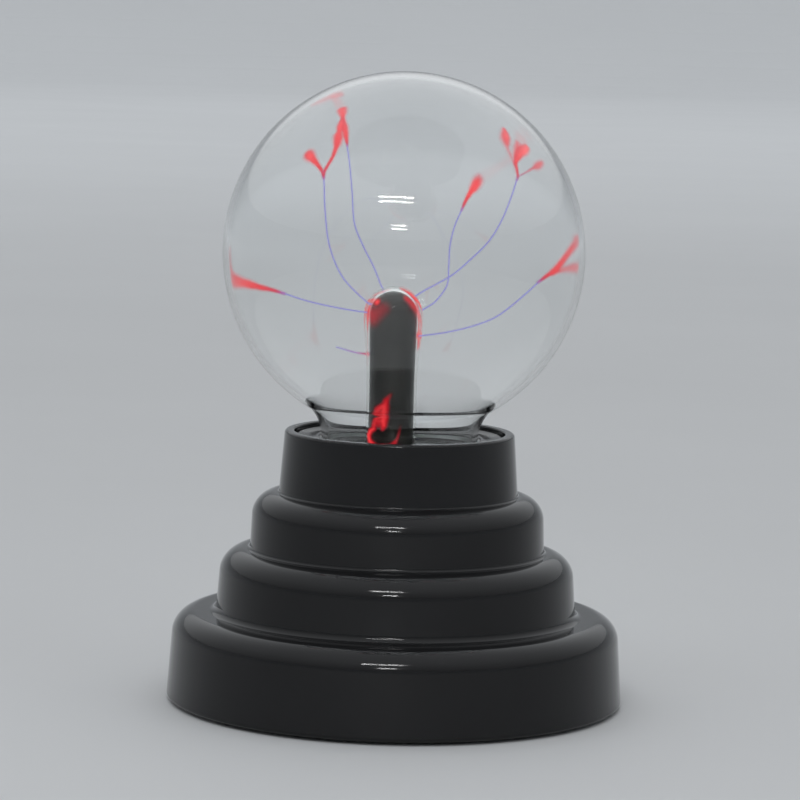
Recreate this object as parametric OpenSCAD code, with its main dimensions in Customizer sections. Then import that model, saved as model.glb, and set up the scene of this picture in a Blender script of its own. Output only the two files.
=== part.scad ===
// Desk plasma ball: a sealed glass globe with a central electrode, held in a stepped
// round base that carries the batteries, the high-voltage driver and the switch.
// +Z is up, the feet stand on z = 0, the axis of the base is x = y = 0 and the
// sockets face +Y.

/* [Globe] */
// Outer radius of the glass globe
globe_r = 39.5; // [39:0.1:40]
// Height of the centre of the globe above the table
globe_z = 98.8; // [98.5:0.1:99.5]
// Thickness of the glass
glass_t = 1.3; // [1:0.1:1.5]
// Radius where the sphere turns into the neck
neck_start_r = 20.9; // [20.5:0.1:21.2]
// Radius of the hollow curve between sphere and neck
neck_sweep_r = 8; // [7.6:0.1:8.2]

/* [Electrode] */
// How far the electrode stands off the axis of the base
electrode_x = -2; // [-2.5:0.1:0]
// Outer radius of the lower part of the electrode tube
tube_r = 5.5; // [5.2:0.1:5.8]
// Outer radius of the bulb at the top of the electrode tube
bulb_r = 6.3; // [6:0.1:6.6]
// Height of the top of the electrode
electrode_top = 91.6; // [88:0.1:94]

/* [Base] */
// Radius of the base at its lower edge
base_r = 50; // [49.5:0.5:52]
// Wall thickness of the base shell
wall = 2; // [1.8:0.1:2.2]
// Height of the lower edge of the shell above the table
shell_gap = 0.8; // [0.6:0.1:1]
// Height of the socket panel's centre line
panel_z = 10.2; // [10:0.1:10.4]
// Distance of the flat socket panel from the axis
panel_y = 44; // [43.6:0.1:44.2]
// Radius on which the rubber feet stand
foot_place_r = 40; // [38:0.5:41]

/* [Batteries] */
// Number of dry cells
cell_count = 4; // [4:1:4]
// Radius of a dry cell
cell_r = 5.25; // [5.1:0.05:5.25]
// Length of a dry cell over its terminals
cell_len = 44.4; // [44:0.1:44.5]
// Distance between neighbouring cells
cell_pitch = 11; // [10.9:0.1:11]
// Height of the axes of the cells
cell_z = 8.75; // [8.7:0.05:8.8]

/* [Switch and socket] */
// Travel of the slide switch
switch_travel = 2.5; // [2:0.1:2.5]
// Sideways place of the slide switch
switch_x = -6.5; // [-6.6:0.1:-6]
// Sideways place of the power socket
jack_x = 9.5; // [9:0.1:10.5]
// Radius of the bore of the power socket
jack_bore_r = 2.9; // [2.8:0.05:3]
// Radius of the centre pin of the power socket
jack_pin_r = 1; // [0.65:0.05:1.05]

/* [Hidden] */
$fn = 48;

// Colours
black_gloss = [0.03, 0.03, 0.035];
black_matt = [0.07, 0.07, 0.075];
clear_glass = [0.75, 0.85, 0.9, 0.35];
steel = [0.72, 0.72, 0.74];
brass = [0.8, 0.65, 0.3];
copper = [0.75, 0.4, 0.25];

// A small gap between pieces of the same body, so that no two solids overlap
gap = 0.05;
// The free play around everything that moves
play = 0.35;
// Steps in a quarter-circle of a lathe outline
arc_steps = 10;

// Base tiers from the bottom up: foot radius, radius at the top plane, height of the
// top plane, radius of the rounded shoulder, radius of the hollow at the foot
tiers = [
    [base_r,        base_r - 1.25,  19.7, 5.0, 0.01],
    [base_r - 10.5, base_r - 11.5,  33.6, 5.4, 1.6],
    [base_r - 17.7, base_r - 18.2,  46.1, 5.2, 0.8],
    [base_r - 23.8, base_r - 24.85, 59.8, 0.7, 0.5]];
rim_z = tiers[3][2];
rim_inner_r = 23.05;

// Neck of the globe, worked out from the sphere
neck_start_a = asin(neck_start_r / globe_r);
neck_start_z = globe_z - globe_r * cos(neck_start_a);
neck_r = neck_start_r - neck_sweep_r * (1 - sin(neck_start_a));
neck_low_z = neck_start_z - neck_sweep_r * cos(neck_start_a);
neck_bottom_z = 55.3;
neck_bottom_round = 2;
inner_globe_r = globe_r - glass_t;
inner_crease_r = 19.6;
inner_crease_z = globe_z - sqrt(pow(inner_globe_r, 2) - pow(inner_crease_r, 2));

// Electrode heights
tube_bottom_z = 53;
flare_low_z = 70;
flare_high_z = electrode_top - bulb_r;
electrode_glass_t = 1.1;
coating_t = 0.15;
wool_low_z = 62;
wool_high_z = 82;

// Collar ledges
ledge_top_z = 53.8;
ledge_t = 1.8;
ledge_hole_r = 12.5;
ring_seat_z = 56.9;
ring_seat_r = 21.5;

// Base cover and its battery tray
cover_z = 1.2;
cover_t = 2;
cover_r = base_r - wall - 0.4;
cover_top = cover_z + cover_t;
cover_screw_place = [37, 14];
tray_half = [26.2, 22.6];
tray_wall = 1.5;
tray_roof_z = 14.3;
tray_top_z = tray_roof_z + tray_wall;
door_x = [-24.6, 24.95];
door_half_y = 21.75;
door_t = 1.9;
hinge_z = cover_z + door_t / 2;
hinge_pin_r = 0.65;
hinge_pin_len = 1.5;
foot_r = 4.5;
foot_recess = 0.7;

// Circuit board
board = [56, 40, 1.6];
board_z = 20.5;
board_top = board_z + board[2];
board_hole = [23, 13];
post_r = 2.3;
transformer_at = [-2, -2];
core_z = board_top + 1.2;
core = [23, 9, 20];
core_yoke = 3.5;
core_leg_r = 3.5;
bobbin_r = 7.8;
sink_at = [20, 0];
sink = [7, 16, 19];
sink_wall = 2;
sink_hole_z = 14.5;
resistor_places = [[5, -18], [5, -14.8], [16.5, -18]];

// Panel pieces
panel_t = 2;
panel_in = panel_y - panel_t;
pocket = [36.8, 10.8];
jack_len = 9;
jack_face_y = panel_y + 1.7;
jack_depth_y = jack_face_y - 9.7;
jack_back_y = panel_in - 9.5;
jack_thread_r = 3.9;
switch_screw_x = 7.3;
switch_on_x = switch_x + switch_travel / 2;
switch_base_y = panel_in - 6.1;
terminal_back_y = panel_in - 10;
knob_tip_y = panel_y + 2.5;

// --- helpers -----------------------------------------------------------------

function arc(cx, cz, r, a0, a1, n = arc_steps) =
    [for (i = [0:n]) let (a = a0 + (a1 - a0) * i / n) [cx + r * cos(a), cz + r * sin(a)]];

function reversed(v) = [for (i = [len(v) - 1:-1:0]) v[i]];

function joined(lists) = [for (l = lists) each l];

// Outline of one tier from its foot up to its top plane, moved inward by t. The wall
// leans in by its draft angle, and both arcs are tangent to it.
function tier_outline(i, t) =
    let (tier = tiers[i],
         foot_r = tier[0] - t,
         foot_z = (i == 0 ? shell_gap : tiers[i - 1][2] - t),
         top_z = tier[2] - t,
         lean = atan((tier[0] - tier[1]) / (tier[2] - (i == 0 ? shell_gap : tiers[i - 1][2]))),
         shoulder = tier[3] - t,
         hollow = tier[4] + t,
         shoulder_z = top_z - shoulder,
         shoulder_r = foot_r - (shoulder + (shoulder_z - foot_z) * sin(lean)) / cos(lean),
         hollow_r = foot_r + hollow * (1 - sin(lean)) / cos(lean))
    concat(
        i == 0 ? [] : arc(hollow_r, foot_z + hollow, hollow, 270, 180 + lean, 6),
        arc(shoulder_r, shoulder_z, shoulder, lean, 90));

module at_corners(p) {
    for (sx = [-1, 1], sy = [-1, 1]) translate([sx * p[0], sy * p[1], 0]) children();
}

module tube(r_out, r_in, h) {
    difference() {
        cylinder(r = r_out, h = h);
        translate([0, 0, -1]) cylinder(r = r_in, h = h + 2);
    }
}

// A cylinder from the point at, lying along +Y
module rod_y(r, h, at) {
    translate(at) rotate([-90, 0, 0]) cylinder(r = r, h = h);
}

// A cylinder from the point at, lying along +X
module rod_x(r, h, at) {
    translate(at) rotate([0, 90, 0]) cylinder(r = r, h = h);
}

// A pan-head screw standing on z = 0 with its head above and its shank below
module pan_screw(head_r, head_h, shank_r, shank_len) {
    slot = 0.5;
    difference() {
        union() {
            rotate_extrude() polygon(concat(
                [[0, 0], [head_r, 0]],
                arc(head_r - 0.6 * head_h, 0.4 * head_h, 0.6 * head_h, 0, 90, 5),
                [[0, head_h]]));
            translate([0, 0, -shank_len]) cylinder(r = shank_r, h = shank_len + 0.1);
        }
        for (a = [0, 90]) rotate([0, 0, a])
            translate([-head_r * 0.6, -slot / 2, head_h * 0.45])
                cube([head_r * 1.2, slot, head_h]);
    }
}

// Smooth curve through the points of a route
function spline_point(p0, p1, p2, p3, t) =
    0.5 * (2 * p1 + (p2 - p0) * t + (2 * p0 - 5 * p1 + 4 * p2 - p3) * pow(t, 2)
           + (3 * p1 - p0 - 3 * p2 + p3) * pow(t, 3));

function smooth_route(p, n) =
    let (last = len(p) - 1)
    concat([for (i = [0:last - 1], k = [0:n - 1])
                spline_point(p[max(i - 1, 0)], p[i], p[i + 1], p[min(i + 2, last)], k / n)],
           [p[last]]);

// A round lead swept along a route as one closed solid
module lead(route, r, n = 3, sides = 8) {
    path = smooth_route(route, n);
    last = len(path) - 1;
    tangents = [for (i = [0:last])
        let (d = path[min(i + 1, last)] - path[max(i - 1, 0)]) d / norm(d)];
    rings = [for (i = [0:last])
        let (t = tangents[i], across = cross(t, [1, 0, 0]), u = across / norm(across),
             v = cross(t, u))
        for (k = [0:sides - 1]) path[i] + r * (cos(360 * k / sides) * u + sin(360 * k / sides) * v)];
    walls = [for (i = [0:last - 1], k = [0:sides - 1])
        let (a = i * sides + k, b = i * sides + (k + 1) % sides)
        each [[a, a + sides, b], [b, a + sides, b + sides]]];
    polyhedron(points = rings,
               faces = concat([[for (k = [0:sides - 1]) k]], walls,
                              [[for (k = [sides - 1:-1:0]) last * sides + k]]));
}

// --- globe and electrode -------------------------------------------------------

function globe_outline() = concat(
    arc(0, globe_z, globe_r, 90, -90 + neck_start_a, 44),
    arc(neck_r + neck_sweep_r, neck_low_z, neck_sweep_r, 90 + neck_start_a, 180, 10),
    arc(neck_r - neck_bottom_round, neck_bottom_z + neck_bottom_round,
        neck_bottom_round, 0, -90, 5),
    [[0, neck_bottom_z]]);

module glass_globe() {
    neck_in_r = neck_r - glass_t;
    crease_a = asin(inner_crease_r / inner_globe_r);
    color(clear_glass) difference() {
        rotate_extrude() polygon(globe_outline());
        rotate_extrude() polygon(concat(
            arc(0, globe_z, inner_globe_r, 90, -90 + crease_a, 44),
            [[neck_in_r, neck_low_z + 2],
             [neck_in_r, neck_bottom_z + glass_t + 0.8],
             [neck_in_r - 0.8, neck_bottom_z + glass_t],
             [0, neck_bottom_z + glass_t]]));
        translate([electrode_x, 0, neck_bottom_z - 1]) cylinder(r = tube_r, h = glass_t + 2);
    }
}

// Outer radius of the electrode at height z, below its dome
function electrode_r(z) =
    let (t = min(1, max(0, (z - flare_low_z) / (flare_high_z - flare_low_z))))
    tube_r + (bulb_r - tube_r) * t * t * (3 - 2 * t);

// Outline of the electrode's outside, moved inward by t, from z = low up to its dome
function electrode_outline(t, low) = concat(
    [[electrode_r(low) - t, low]],
    [for (i = [0:8]) let (z = flare_low_z + (flare_high_z - flare_low_z) * i / 8)
        [electrode_r(z) - t, z]],
    [for (i = [1:10]) let (a = 9 * i)
        [(bulb_r - t) * cos(a), flare_high_z + (bulb_r - t) * sin(a)]]);

module electrode_skin(t_out, t_in, low) {
    translate([electrode_x, 0, 0]) rotate_extrude()
        polygon(concat(electrode_outline(t_out, low), reversed(electrode_outline(t_in, low))));
}

module electrode_tube() {
    color(clear_glass) electrode_skin(0, electrode_glass_t, tube_bottom_z);
}

module electrode_coating() {
    color(black_matt)
        electrode_skin(electrode_glass_t, electrode_glass_t + coating_t, neck_bottom_z);
}

module steel_wool_plug() {
    r = tube_r - electrode_glass_t - coating_t - gap;
    color([0.45, 0.45, 0.47]) translate([electrode_x, 0, wool_low_z])
        cylinder(r = r, h = wool_high_z - wool_low_z);
}

module exhaust_tip() {
    tip_x = 8.5;
    color(clear_glass) translate([tip_x, 0, 0]) rotate_extrude() polygon([
        [0, neck_bottom_z - 4.5], [0.5, neck_bottom_z - 4.4], [1.1, neck_bottom_z - 2.5],
        [1.5, neck_bottom_z - gap / 2], [0, neck_bottom_z - gap / 2]]);
}

// --- base shell and what holds the globe -----------------------------------------

function shell_outside() = concat(
    arc(base_r - 0.8, shell_gap + 0.8, 0.8, -90, 0, 5),
    joined([for (i = [0:len(tiers) - 1]) tier_outline(i, 0)]));

function shell_inside() =
    let (collar_r = tiers[3][0] - wall - 0.1, ceiling = tiers[2][2] - wall)
    concat(
        arc(rim_inner_r + 0.4, rim_z - 0.4, 0.4, 90, 180, 4),
        [[rim_inner_r, ring_seat_z], [ring_seat_r, ring_seat_z], [rim_inner_r, ring_seat_z - 1.5],
         [rim_inner_r, ledge_top_z], [ledge_hole_r, ledge_top_z],
         [ledge_hole_r, ledge_top_z - ledge_t], [collar_r, ledge_top_z - ledge_t],
         [collar_r, ceiling]],
        joined([for (i = [2:-1:0]) reversed(tier_outline(i, wall))]),
        [[base_r - wall, shell_gap]]);

module panel_block() {
    width = pocket[0] + 3.6;
    intersection() {
        translate([-width / 2, panel_in, cover_top + 0.3])
            cube([width, base_r - panel_in, tiers[0][2] - wall - cover_top]);
        rotate_extrude() polygon(concat([[0, shell_gap]], shell_outside(), [[0, rim_z]]));
    }
}

module panel_cuts() {
    translate([-pocket[0] / 2, panel_y, panel_z - pocket[1] / 2])
        cube([pocket[0], base_r, pocket[1]]);
    rod_y(jack_thread_r + gap, panel_t + 2, [jack_x, panel_in - 1, panel_z]);
    translate([switch_x - 3.5, panel_in - 1, panel_z - 1.8]) cube([7, panel_t + 2, 3.6]);
    for (s = [-1, 1])
        rod_y(1.1, panel_t + 2, [switch_x + s * switch_screw_x, panel_in - 1, panel_z]);
}

module base_shell() {
    boss_low = cover_top + gap;
    boss_high = tiers[0][2] - wall / 2;
    color(black_gloss) difference() {
        union() {
            rotate_extrude() polygon(concat(shell_outside(), shell_inside()));
            at_corners(cover_screw_place) translate([0, 0, boss_low])
                cylinder(r = 3.2, h = boss_high - boss_low);
            panel_block();
        }
        at_corners(cover_screw_place) translate([0, 0, boss_low - 1])
            cylinder(r = 1.27, h = 11);
        panel_cuts();
    }
}

module top_ring() {
    hole_r = neck_r + 0.45;
    out_r = rim_inner_r - 0.3;
    low = ring_seat_z + gap;
    bead = 0.55;
    plate_z = rim_z - 1.4;
    color(black_matt) rotate_extrude() polygon(concat(
        [[hole_r, low], [out_r, low]],
        arc(out_r - bead, plate_z - bead + 0.45, bead, 0, 130, 6),
        [[out_r - 2.2, plate_z], [hole_r + 1.5, plate_z - 0.15]],
        arc(hole_r + 0.5, plate_z - 0.3, 0.5, 60, 180, 5)));
}

module neck_sealant() {
    color([0.55, 0.56, 0.56]) translate([0, 0, ring_seat_z + 0.3])
        tube(neck_r + 0.43, neck_r + 0.04, rim_z - 1.9 - ring_seat_z);
}

module neck_gasket() {
    color([0.15, 0.15, 0.15]) translate([0, 0, ledge_top_z + gap])
        tube(16.4, ledge_hole_r + 0.2, neck_bottom_z - ledge_top_z - 2 * gap);
}

// --- base cover, door and feet -------------------------------------------------------

module cover_opening() {
    hinge_room = door_t / 2 + play;
    bore_len = hinge_pin_len + 0.4;
    translate([door_x[0] - hinge_room, -door_half_y - play, cover_z - 1])
        cube([door_x[1] - door_x[0] + hinge_room + play, 2 * (door_half_y + play), cover_t + 2]);
    for (s = [-1, 1]) rod_y(hinge_pin_r + 0.06, bore_len,
        [door_x[0], s > 0 ? door_half_y : -door_half_y - bore_len, hinge_z]);
}

module vent_slots() {
    slot = [24, 2];
    for (side = [-1, 1], i = [0:3])
        translate([0, side * (29 + 4 * i), cover_z - 1]) {
            translate([-slot[0] / 2 + slot[1] / 2 + i, -slot[1] / 2, 0])
                cube([slot[0] - slot[1] - 2 * i, slot[1], cover_t + 2]);
            for (s = [-1, 1]) translate([s * (slot[0] / 2 - slot[1] / 2 - i), 0, 0])
                cylinder(r = slot[1] / 2, h = cover_t + 2);
        }
}

module battery_tray() {
    outer = [tray_half[0] + tray_wall, tray_half[1] + tray_wall];
    difference() {
        translate([-outer[0], -outer[1], cover_top - 0.5])
            cube([2 * outer[0], 2 * outer[1], tray_top_z - cover_top + 0.5]);
        difference() {
            translate([-tray_half[0], -tray_half[1], cover_z])
                cube([2 * tray_half[0], 2 * tray_half[1], tray_roof_z - cover_z]);
            // saddles that keep the cells apart
            for (x = [-13, 11.5]) difference() {
                translate([x, -tray_half[1] - 1, 10.5])
                    cube([1.5, 2 * tray_half[1] + 2, 6]);
                for (i = [0:cell_count - 1])
                    rod_x(cell_r + 0.12, 10, [x - 4, cell_y(i), cell_z]);
            }
            // ledges that stop the door
            for (s = [-1, 1]) translate([-15, s > 0 ? 20.9 : -24.9, cover_z + door_t + play])
                cube([30, 4, 0.9]);
        }
        for (s = [-1, 1])
            translate([-tray_half[0] - 0.1, s * 20 - 1.3, tray_roof_z - 1])
                cube([0.8, 2.6, tray_wall + 2]);
    }
}

module base_cover() {
    color(black_matt) difference() {
        union() {
            translate([0, 0, cover_z]) cylinder(r = cover_r, h = cover_t);
            battery_tray();
            at_corners(board_hole) translate([0, 0, tray_top_z - 0.5])
                cylinder(r = post_r, h = board_z - gap - tray_top_z + 0.5);
        }
        cover_opening();
        vent_slots();
        at_corners(cover_screw_place) translate([0, 0, cover_z - 1]) {
            cylinder(r = 1.5, h = cover_t + 2);
            cylinder(r = 2.8, h = 2.1);
        }
        at_corners(foot_place()) translate([0, 0, cover_z - 1])
            cylinder(r = foot_r + gap, h = 1 + foot_recess);
        at_corners(board_hole) translate([0, 0, tray_top_z + 0.5]) cylinder(r = 1.02, h = 10);
        // finger scoop beside the door's latch
        translate([door_x[1] - 1, 0, cover_z - 3.2]) rotate([0, 90, 0])
            translate([-0.2, 0, 0]) cylinder(r = 4, h = 5.5);
    }
}

function foot_place() = [foot_place_r * cos(45), foot_place_r * sin(45)];

module cover_screws() {
    color(steel) at_corners(cover_screw_place) translate([0, 0, cover_z + 1.05])
        rotate([180, 0, 0]) pan_screw(2.5, 1, 1.25, 9);
}

module rubber_feet() {
    top = cover_z + foot_recess - gap;
    color([0.1, 0.1, 0.1]) at_corners(foot_place()) rotate_extrude() polygon(concat(
        [[0, 0]], arc(foot_r - 0.5, 0.5, 0.5, -90, 0, 4), [[foot_r, top], [0, top]]));
}

module battery_door() {
    door_len = door_x[1] - door_x[0];
    low = cover_z;
    top = cover_z + door_t;
    color(black_matt) difference() {
        union() {
            translate([0, door_half_y, 0]) rotate([90, 0, 0]) linear_extrude(2 * door_half_y)
                polygon(concat(
                    arc(door_x[0], hinge_z, door_t / 2, 90, 270, 8),
                    [[door_x[1], low], [door_x[1], top]]));
            for (s = [-1, 1]) rod_y(hinge_pin_r, hinge_pin_len + 1,
                [door_x[0], s > 0 ? door_half_y - 1 : -door_half_y - hinge_pin_len, hinge_z]);
            // latch tongue with its nose
            translate([0, 4, 0]) rotate([90, 0, 0]) linear_extrude(8) polygon([
                [door_x[1] - 1.8, top - 0.2], [door_x[1] - 0.8, top - 0.2],
                [door_x[1] - 0.8, top + 0.5], [door_x[1] - 0.1, top + 0.9],
                [door_x[1] - 0.8, top + 1.6], [door_x[1] - 1.8, top + 1.6]]);
            // stiffening ribs between the cells
            for (y = [-1, 0, 1]) translate([door_x[0] + 4, y * cell_pitch - 0.5, top - 0.2])
                cube([door_len - 8, 1, 1.4]);
        }
        // finger grip
        for (i = [0:4]) translate([door_x[1] - 5 - 2 * i, -7, low - 1])
            cube([0.9, 14, 1.4]);
    }
}

// --- cells and contacts -----------------------------------------------------------------

function cell_y(i) = (i - (cell_count - 1) / 2) * cell_pitch;

// A dry cell with its positive cap towards +X, or towards -X when turned
module dry_cell(i) {
    nub = 1;
    body = cell_len - nub;
    turn = i % 2 == 0 ? 1 : -1;
    color([0.25, 0.27, 0.3]) translate([0, cell_y(i), cell_z])
        rotate([0, 0, turn > 0 ? 0 : 180]) rotate([0, 90, 0]) rotate_extrude() polygon([
            [0, -cell_len / 2], [cell_r - 1, -cell_len / 2], [cell_r - 0.7, 0.25 - cell_len / 2],
            [cell_r, 0.6 - cell_len / 2], [cell_r, body - cell_len / 2 - 0.5],
            [cell_r - 0.5, body - cell_len / 2], [1.9, body - cell_len / 2],
            [1.8, cell_len / 2], [0, cell_len / 2]]);
}

module cell_1() { dry_cell(0); }
module cell_2() { dry_cell(1); }
module cell_3() { dry_cell(2); }
module cell_4() { dry_cell(3); }

// A springy contact on the end wall of the tray, for the cells named, with or without
// a solder tab
module cell_contact(side, cells, tab) {
    plate_t = 0.4;
    plate_in = tray_half[0] - plate_t - gap;
    bow = plate_in - cell_len / 2 - gap;
    ys = [for (i = cells) cell_y(i)];
    low_y = min(ys) - 4;
    color(steel) mirror([side < 0 ? 1 : 0, 0, 0]) {
        translate([plate_in, low_y, cell_z - 3.5]) cube([plate_t, max(ys) - min(ys) + 8, 7]);
        for (y = ys) translate([plate_in + 0.1, y + 2.5, cell_z]) rotate([90, 0, 0])
            linear_extrude(5) polygon([
                [0, -3.4], [-bow - 0.1, -1.1], [-bow - 0.1, 1.1], [0, 3.4],
                [0, 2.9], [plate_t - bow - 0.1, 0.8], [plate_t - bow - 0.1, -0.8], [0, -2.9]]);
        if (tab) {
            tab_y = ys[0] > 0 ? 20 : -20;
            translate([plate_in, tab_y - 1, cell_z + 2])
                cube([plate_t, 2, 18.3 - cell_z - 2]);
            translate([plate_in, min(tab_y, ys[0]) - 1, cell_z + 2])
                cube([plate_t, abs(tab_y - ys[0]) + 2, 1.5]);
        }
    }
}

module contact_negative() { cell_contact(-1, [0], true); }
module contact_bridge_1() { cell_contact(1, [0, 1], false); }
module contact_bridge_2() { cell_contact(-1, [1, 2], false); }
module contact_bridge_3() { cell_contact(1, [2, 3], false); }
module contact_positive() { cell_contact(-1, [3], true); }

// --- driver board -----------------------------------------------------------------------------

module circuit_board() {
    color([0.55, 0.4, 0.2]) difference() {
        translate([-board[0] / 2, -board[1] / 2, board_z]) cube(board);
        at_corners(board_hole) translate([0, 0, board_z - 1]) cylinder(r = 1.15, h = 4);
    }
}

module board_screws() {
    color(steel) at_corners(board_hole) translate([0, 0, board_top + gap / 2])
        pan_screw(1.9, 1.2, 1, 5);
}

// Two facing cores with a round middle leg, joined at mid height
module transformer_core() {
    leg_x = (core[0] - 6.4) / 2;
    color([0.2, 0.2, 0.21]) translate([transformer_at[0], transformer_at[1], core_z]) {
        for (z = [0, core[2] - core_yoke]) translate([-core[0] / 2, -core[1] / 2, z])
            cube([core[0], core[1], core_yoke]);
        translate([0, 0, core_yoke - 0.5])
            cylinder(r = core_leg_r, h = core[2] - 2 * core_yoke + 1);
        for (s = [-1, 1]) translate([s > 0 ? leg_x : -core[0] / 2, -core[1] / 2, core_yoke - 0.5])
            cube([core[0] / 2 - leg_x, core[1], core[2] - 2 * core_yoke + 1]);
    }
}

module transformer_bobbin() {
    low = core_z + core_yoke + 0.1;
    high = core_z + core[2] - core_yoke - 0.1;
    color([0.85, 0.82, 0.7]) translate([transformer_at[0], transformer_at[1], 0]) {
        difference() {
            union() {
                translate([0, 0, low]) cylinder(r = core_leg_r + 0.9, h = high - low);
                for (z = [low, low + 3.5, high - 1]) translate([0, 0, z])
                    cylinder(r = bobbin_r, h = 1);
            }
            translate([0, 0, low - 1]) cylinder(r = core_leg_r + 0.1, h = high - low + 2);
        }
        // pins that stand in the board
        for (sx = [-1, 1], sy = [-1, 1])
            translate([sx * 4, sy * 6.4, board_top + gap]) cylinder(r = 0.4, h = low - board_top);
    }
}

module winding(low, high, r) {
    translate([transformer_at[0], transformer_at[1], low])
        tube(r, core_leg_r + 0.9 + gap, high - low);
}

module primary_winding() {
    low = core_z + core_yoke + 1.1 + gap;
    color(copper) winding(low, low + 2.3, 6.4);
}

module secondary_winding() {
    low = core_z + core_yoke + 4.6 + gap;
    color([0.75, 0.5, 0.2]) winding(low, core_z + core[2] - core_yoke - 1.1 - gap, 7.2);
}

module transistor() {
    // upright package: tab against the heat sink, body in front of it, three legs
    tab_t = 1.3;
    body = [4.4, 10, 9];
    low = 2.5;
    color([0.12, 0.12, 0.12]) translate([sink_at[0] - sink_wall - gap, sink_at[1], board_top])
        difference() {
            union() {
                translate([-tab_t, -body[1] / 2, low]) cube([tab_t, body[1], 14.5]);
                translate([-body[0], -body[1] / 2, low]) cube([body[0] - 0.1, body[1], body[2]]);
                for (y = [-2.54, 0, 2.54]) translate([-3, y - 0.4, gap])
                    cube([0.5, 0.8, low + 0.2]);
            }
            rod_x(1.45, 4, [-3, 0, sink_hole_z]);
        }
}

module heat_sink() {
    fins = 5;
    fin_t = 1.2;
    color([0.7, 0.7, 0.72]) translate([sink_at[0], sink_at[1], board_top + gap])
        difference() {
            union() {
                translate([-sink_wall, -sink[1] / 2, 0]) cube([sink_wall, sink[1], sink[2]]);
                for (i = [0:fins - 1])
                    translate([-0.5, -sink[1] / 2 + i * (sink[1] - fin_t) / (fins - 1), 0])
                        cube([sink[0] - sink_wall + 0.5, fin_t, sink[2]]);
            }
            rod_x(1.2, 4, [-3, 0, sink_hole_z - gap]);
        }
}

module heat_sink_screw() {
    // passes the transistor's tab into the wall of the sink
    head_x = sink_at[0] - sink_wall - 1.3 - 2 * gap;
    color(steel) translate([head_x, sink_at[1], board_top + sink_hole_z])
        rotate([0, -90, 0]) pan_screw(2.2, 1.2, 1.18, 3);
}

module electrolytic_capacitor() {
    color([0.1, 0.1, 0.25]) translate([-20, 4, board_top + gap]) rotate_extrude()
        polygon(concat([[0, 0], [4.6, 0], [5, 0.4], [5, 1.6], [4.8, 2], [5, 2.4]],
                       arc(4.5, 12.5, 0.5, 0, 90, 4), [[0, 13]]));
}

module film_capacitor() {
    color([0.6, 0.1, 0.08]) translate([-24.5, -9, board_top + gap]) {
        translate([0, 0, 0.8]) cube([9, 4.5, 8]);
        for (x = [1.5, 7.5]) translate([x, 2.25, 0]) cylinder(r = 0.3, h = 1);
    }
}

// An axial part with its two legs bent down into the board
module axial_part(at, r, l) {
    height = 1.6;
    leg_r = 0.3;
    leg_x = l / 2 + 2;
    translate([at[0], at[1], board_top + gap]) {
        rod_x(r, l, [-l / 2, 0, height]);
        rod_x(leg_r, 2 * (leg_x + leg_r), [-leg_x - leg_r, 0, height]);
        for (s = [-1, 1]) translate([s * leg_x, 0, 0]) cylinder(r = leg_r, h = height);
    }
}

module resistors() {
    color([0.75, 0.65, 0.45]) for (place = resistor_places) axial_part(place, 1.15, 6.3);
}

module diode() {
    color([0.15, 0.15, 0.15]) axial_part([-11, -17.5], 1.3, 5);
}

// --- power socket ---------------------------------------------------------------------------

module dc_jack_housing() {
    color([0.08, 0.08, 0.08]) difference() {
        union() {
            rod_y(jack_thread_r, jack_face_y - panel_in + 0.5, [jack_x, panel_in - 0.5, panel_z]);
            rod_y(5.4, panel_in - gap - jack_back_y, [jack_x, jack_back_y, panel_z]);
        }
        rod_y(jack_bore_r, 20, [jack_x, jack_depth_y, panel_z]);
        rod_y(1.6, 10, [jack_x, jack_back_y - 1, panel_z]);
        translate([jack_x - 1.1, jack_back_y - 5, panel_z - 3.4]) cube([2.2, 16, 1.2]);
    }
}

module dc_jack_nut() {
    across_flats = 9;
    color(steel) translate([jack_x, panel_y + gap, panel_z]) rotate([-90, 0, 0]) difference() {
        cylinder(r = across_flats / 2 / cos(30), h = 1.4, $fn = 6);
        translate([0, 0, -1]) cylinder(r = jack_thread_r + gap / 2, h = 4);
    }
}

module dc_jack_pin() {
    // turned pin with a collar in the back of the housing and a solder tail
    color(brass) {
        translate([jack_x, 0, panel_z]) rotate([-90, 0, 0]) rotate_extrude() polygon([
            [0, jack_back_y - 2], [0.5, jack_back_y - 2], [0.5, jack_back_y + 0.2],
            [1.55, jack_back_y + 0.2], [1.55, jack_depth_y - gap],
            [jack_pin_r, jack_depth_y - gap], [jack_pin_r, jack_depth_y + jack_len - 0.5],
            [jack_pin_r - 0.4, jack_depth_y + jack_len], [0, jack_depth_y + jack_len]]);
    }
}

module dc_jack_contact() {
    color(brass) translate([jack_x - 1, jack_back_y - 2, panel_z - 3.35]) cube([2, 12.5, 0.5]);
}

// --- slide switch ----------------------------------------------------------------------------

module switch_frame() {
    frame_y = panel_in - gap;
    t = 0.6;
    color(steel) translate([switch_x, 0, panel_z]) difference() {
        union() {
            translate([-8.9, frame_y - t, -2.9]) cube([17.8, t, 5.8]);
            for (s = [-1, 1]) translate([-5.5, frame_y - 5.2, s > 0 ? 2.35 : -2.9])
                cube([11, 5.2, 0.55]);
        }
        translate([-3.6, frame_y - 2, -1.85]) cube([7.2, 4, 3.7]);
        for (s = [-1, 1]) rod_y(1.02, 4, [s * switch_screw_x, frame_y - 2, 0]);
    }
}

module switch_base() {
    color([0.6, 0.45, 0.25]) difference() {
        translate([switch_x - 5.2, switch_base_y, panel_z - 2.3]) cube([10.4, 1, 4.6]);
        for (i = [-1:1]) translate([switch_x + 3 * i - 0.75, switch_base_y - 1, panel_z - 0.25])
            cube([1.5, 4, 0.5]);
    }
}

module switch_terminals() {
    color(brass) for (i = [-1:1])
        translate([switch_x + 3 * i - 0.7, terminal_back_y, panel_z - 0.2])
            cube([1.4, 5.05, 0.4]);
}

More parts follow.
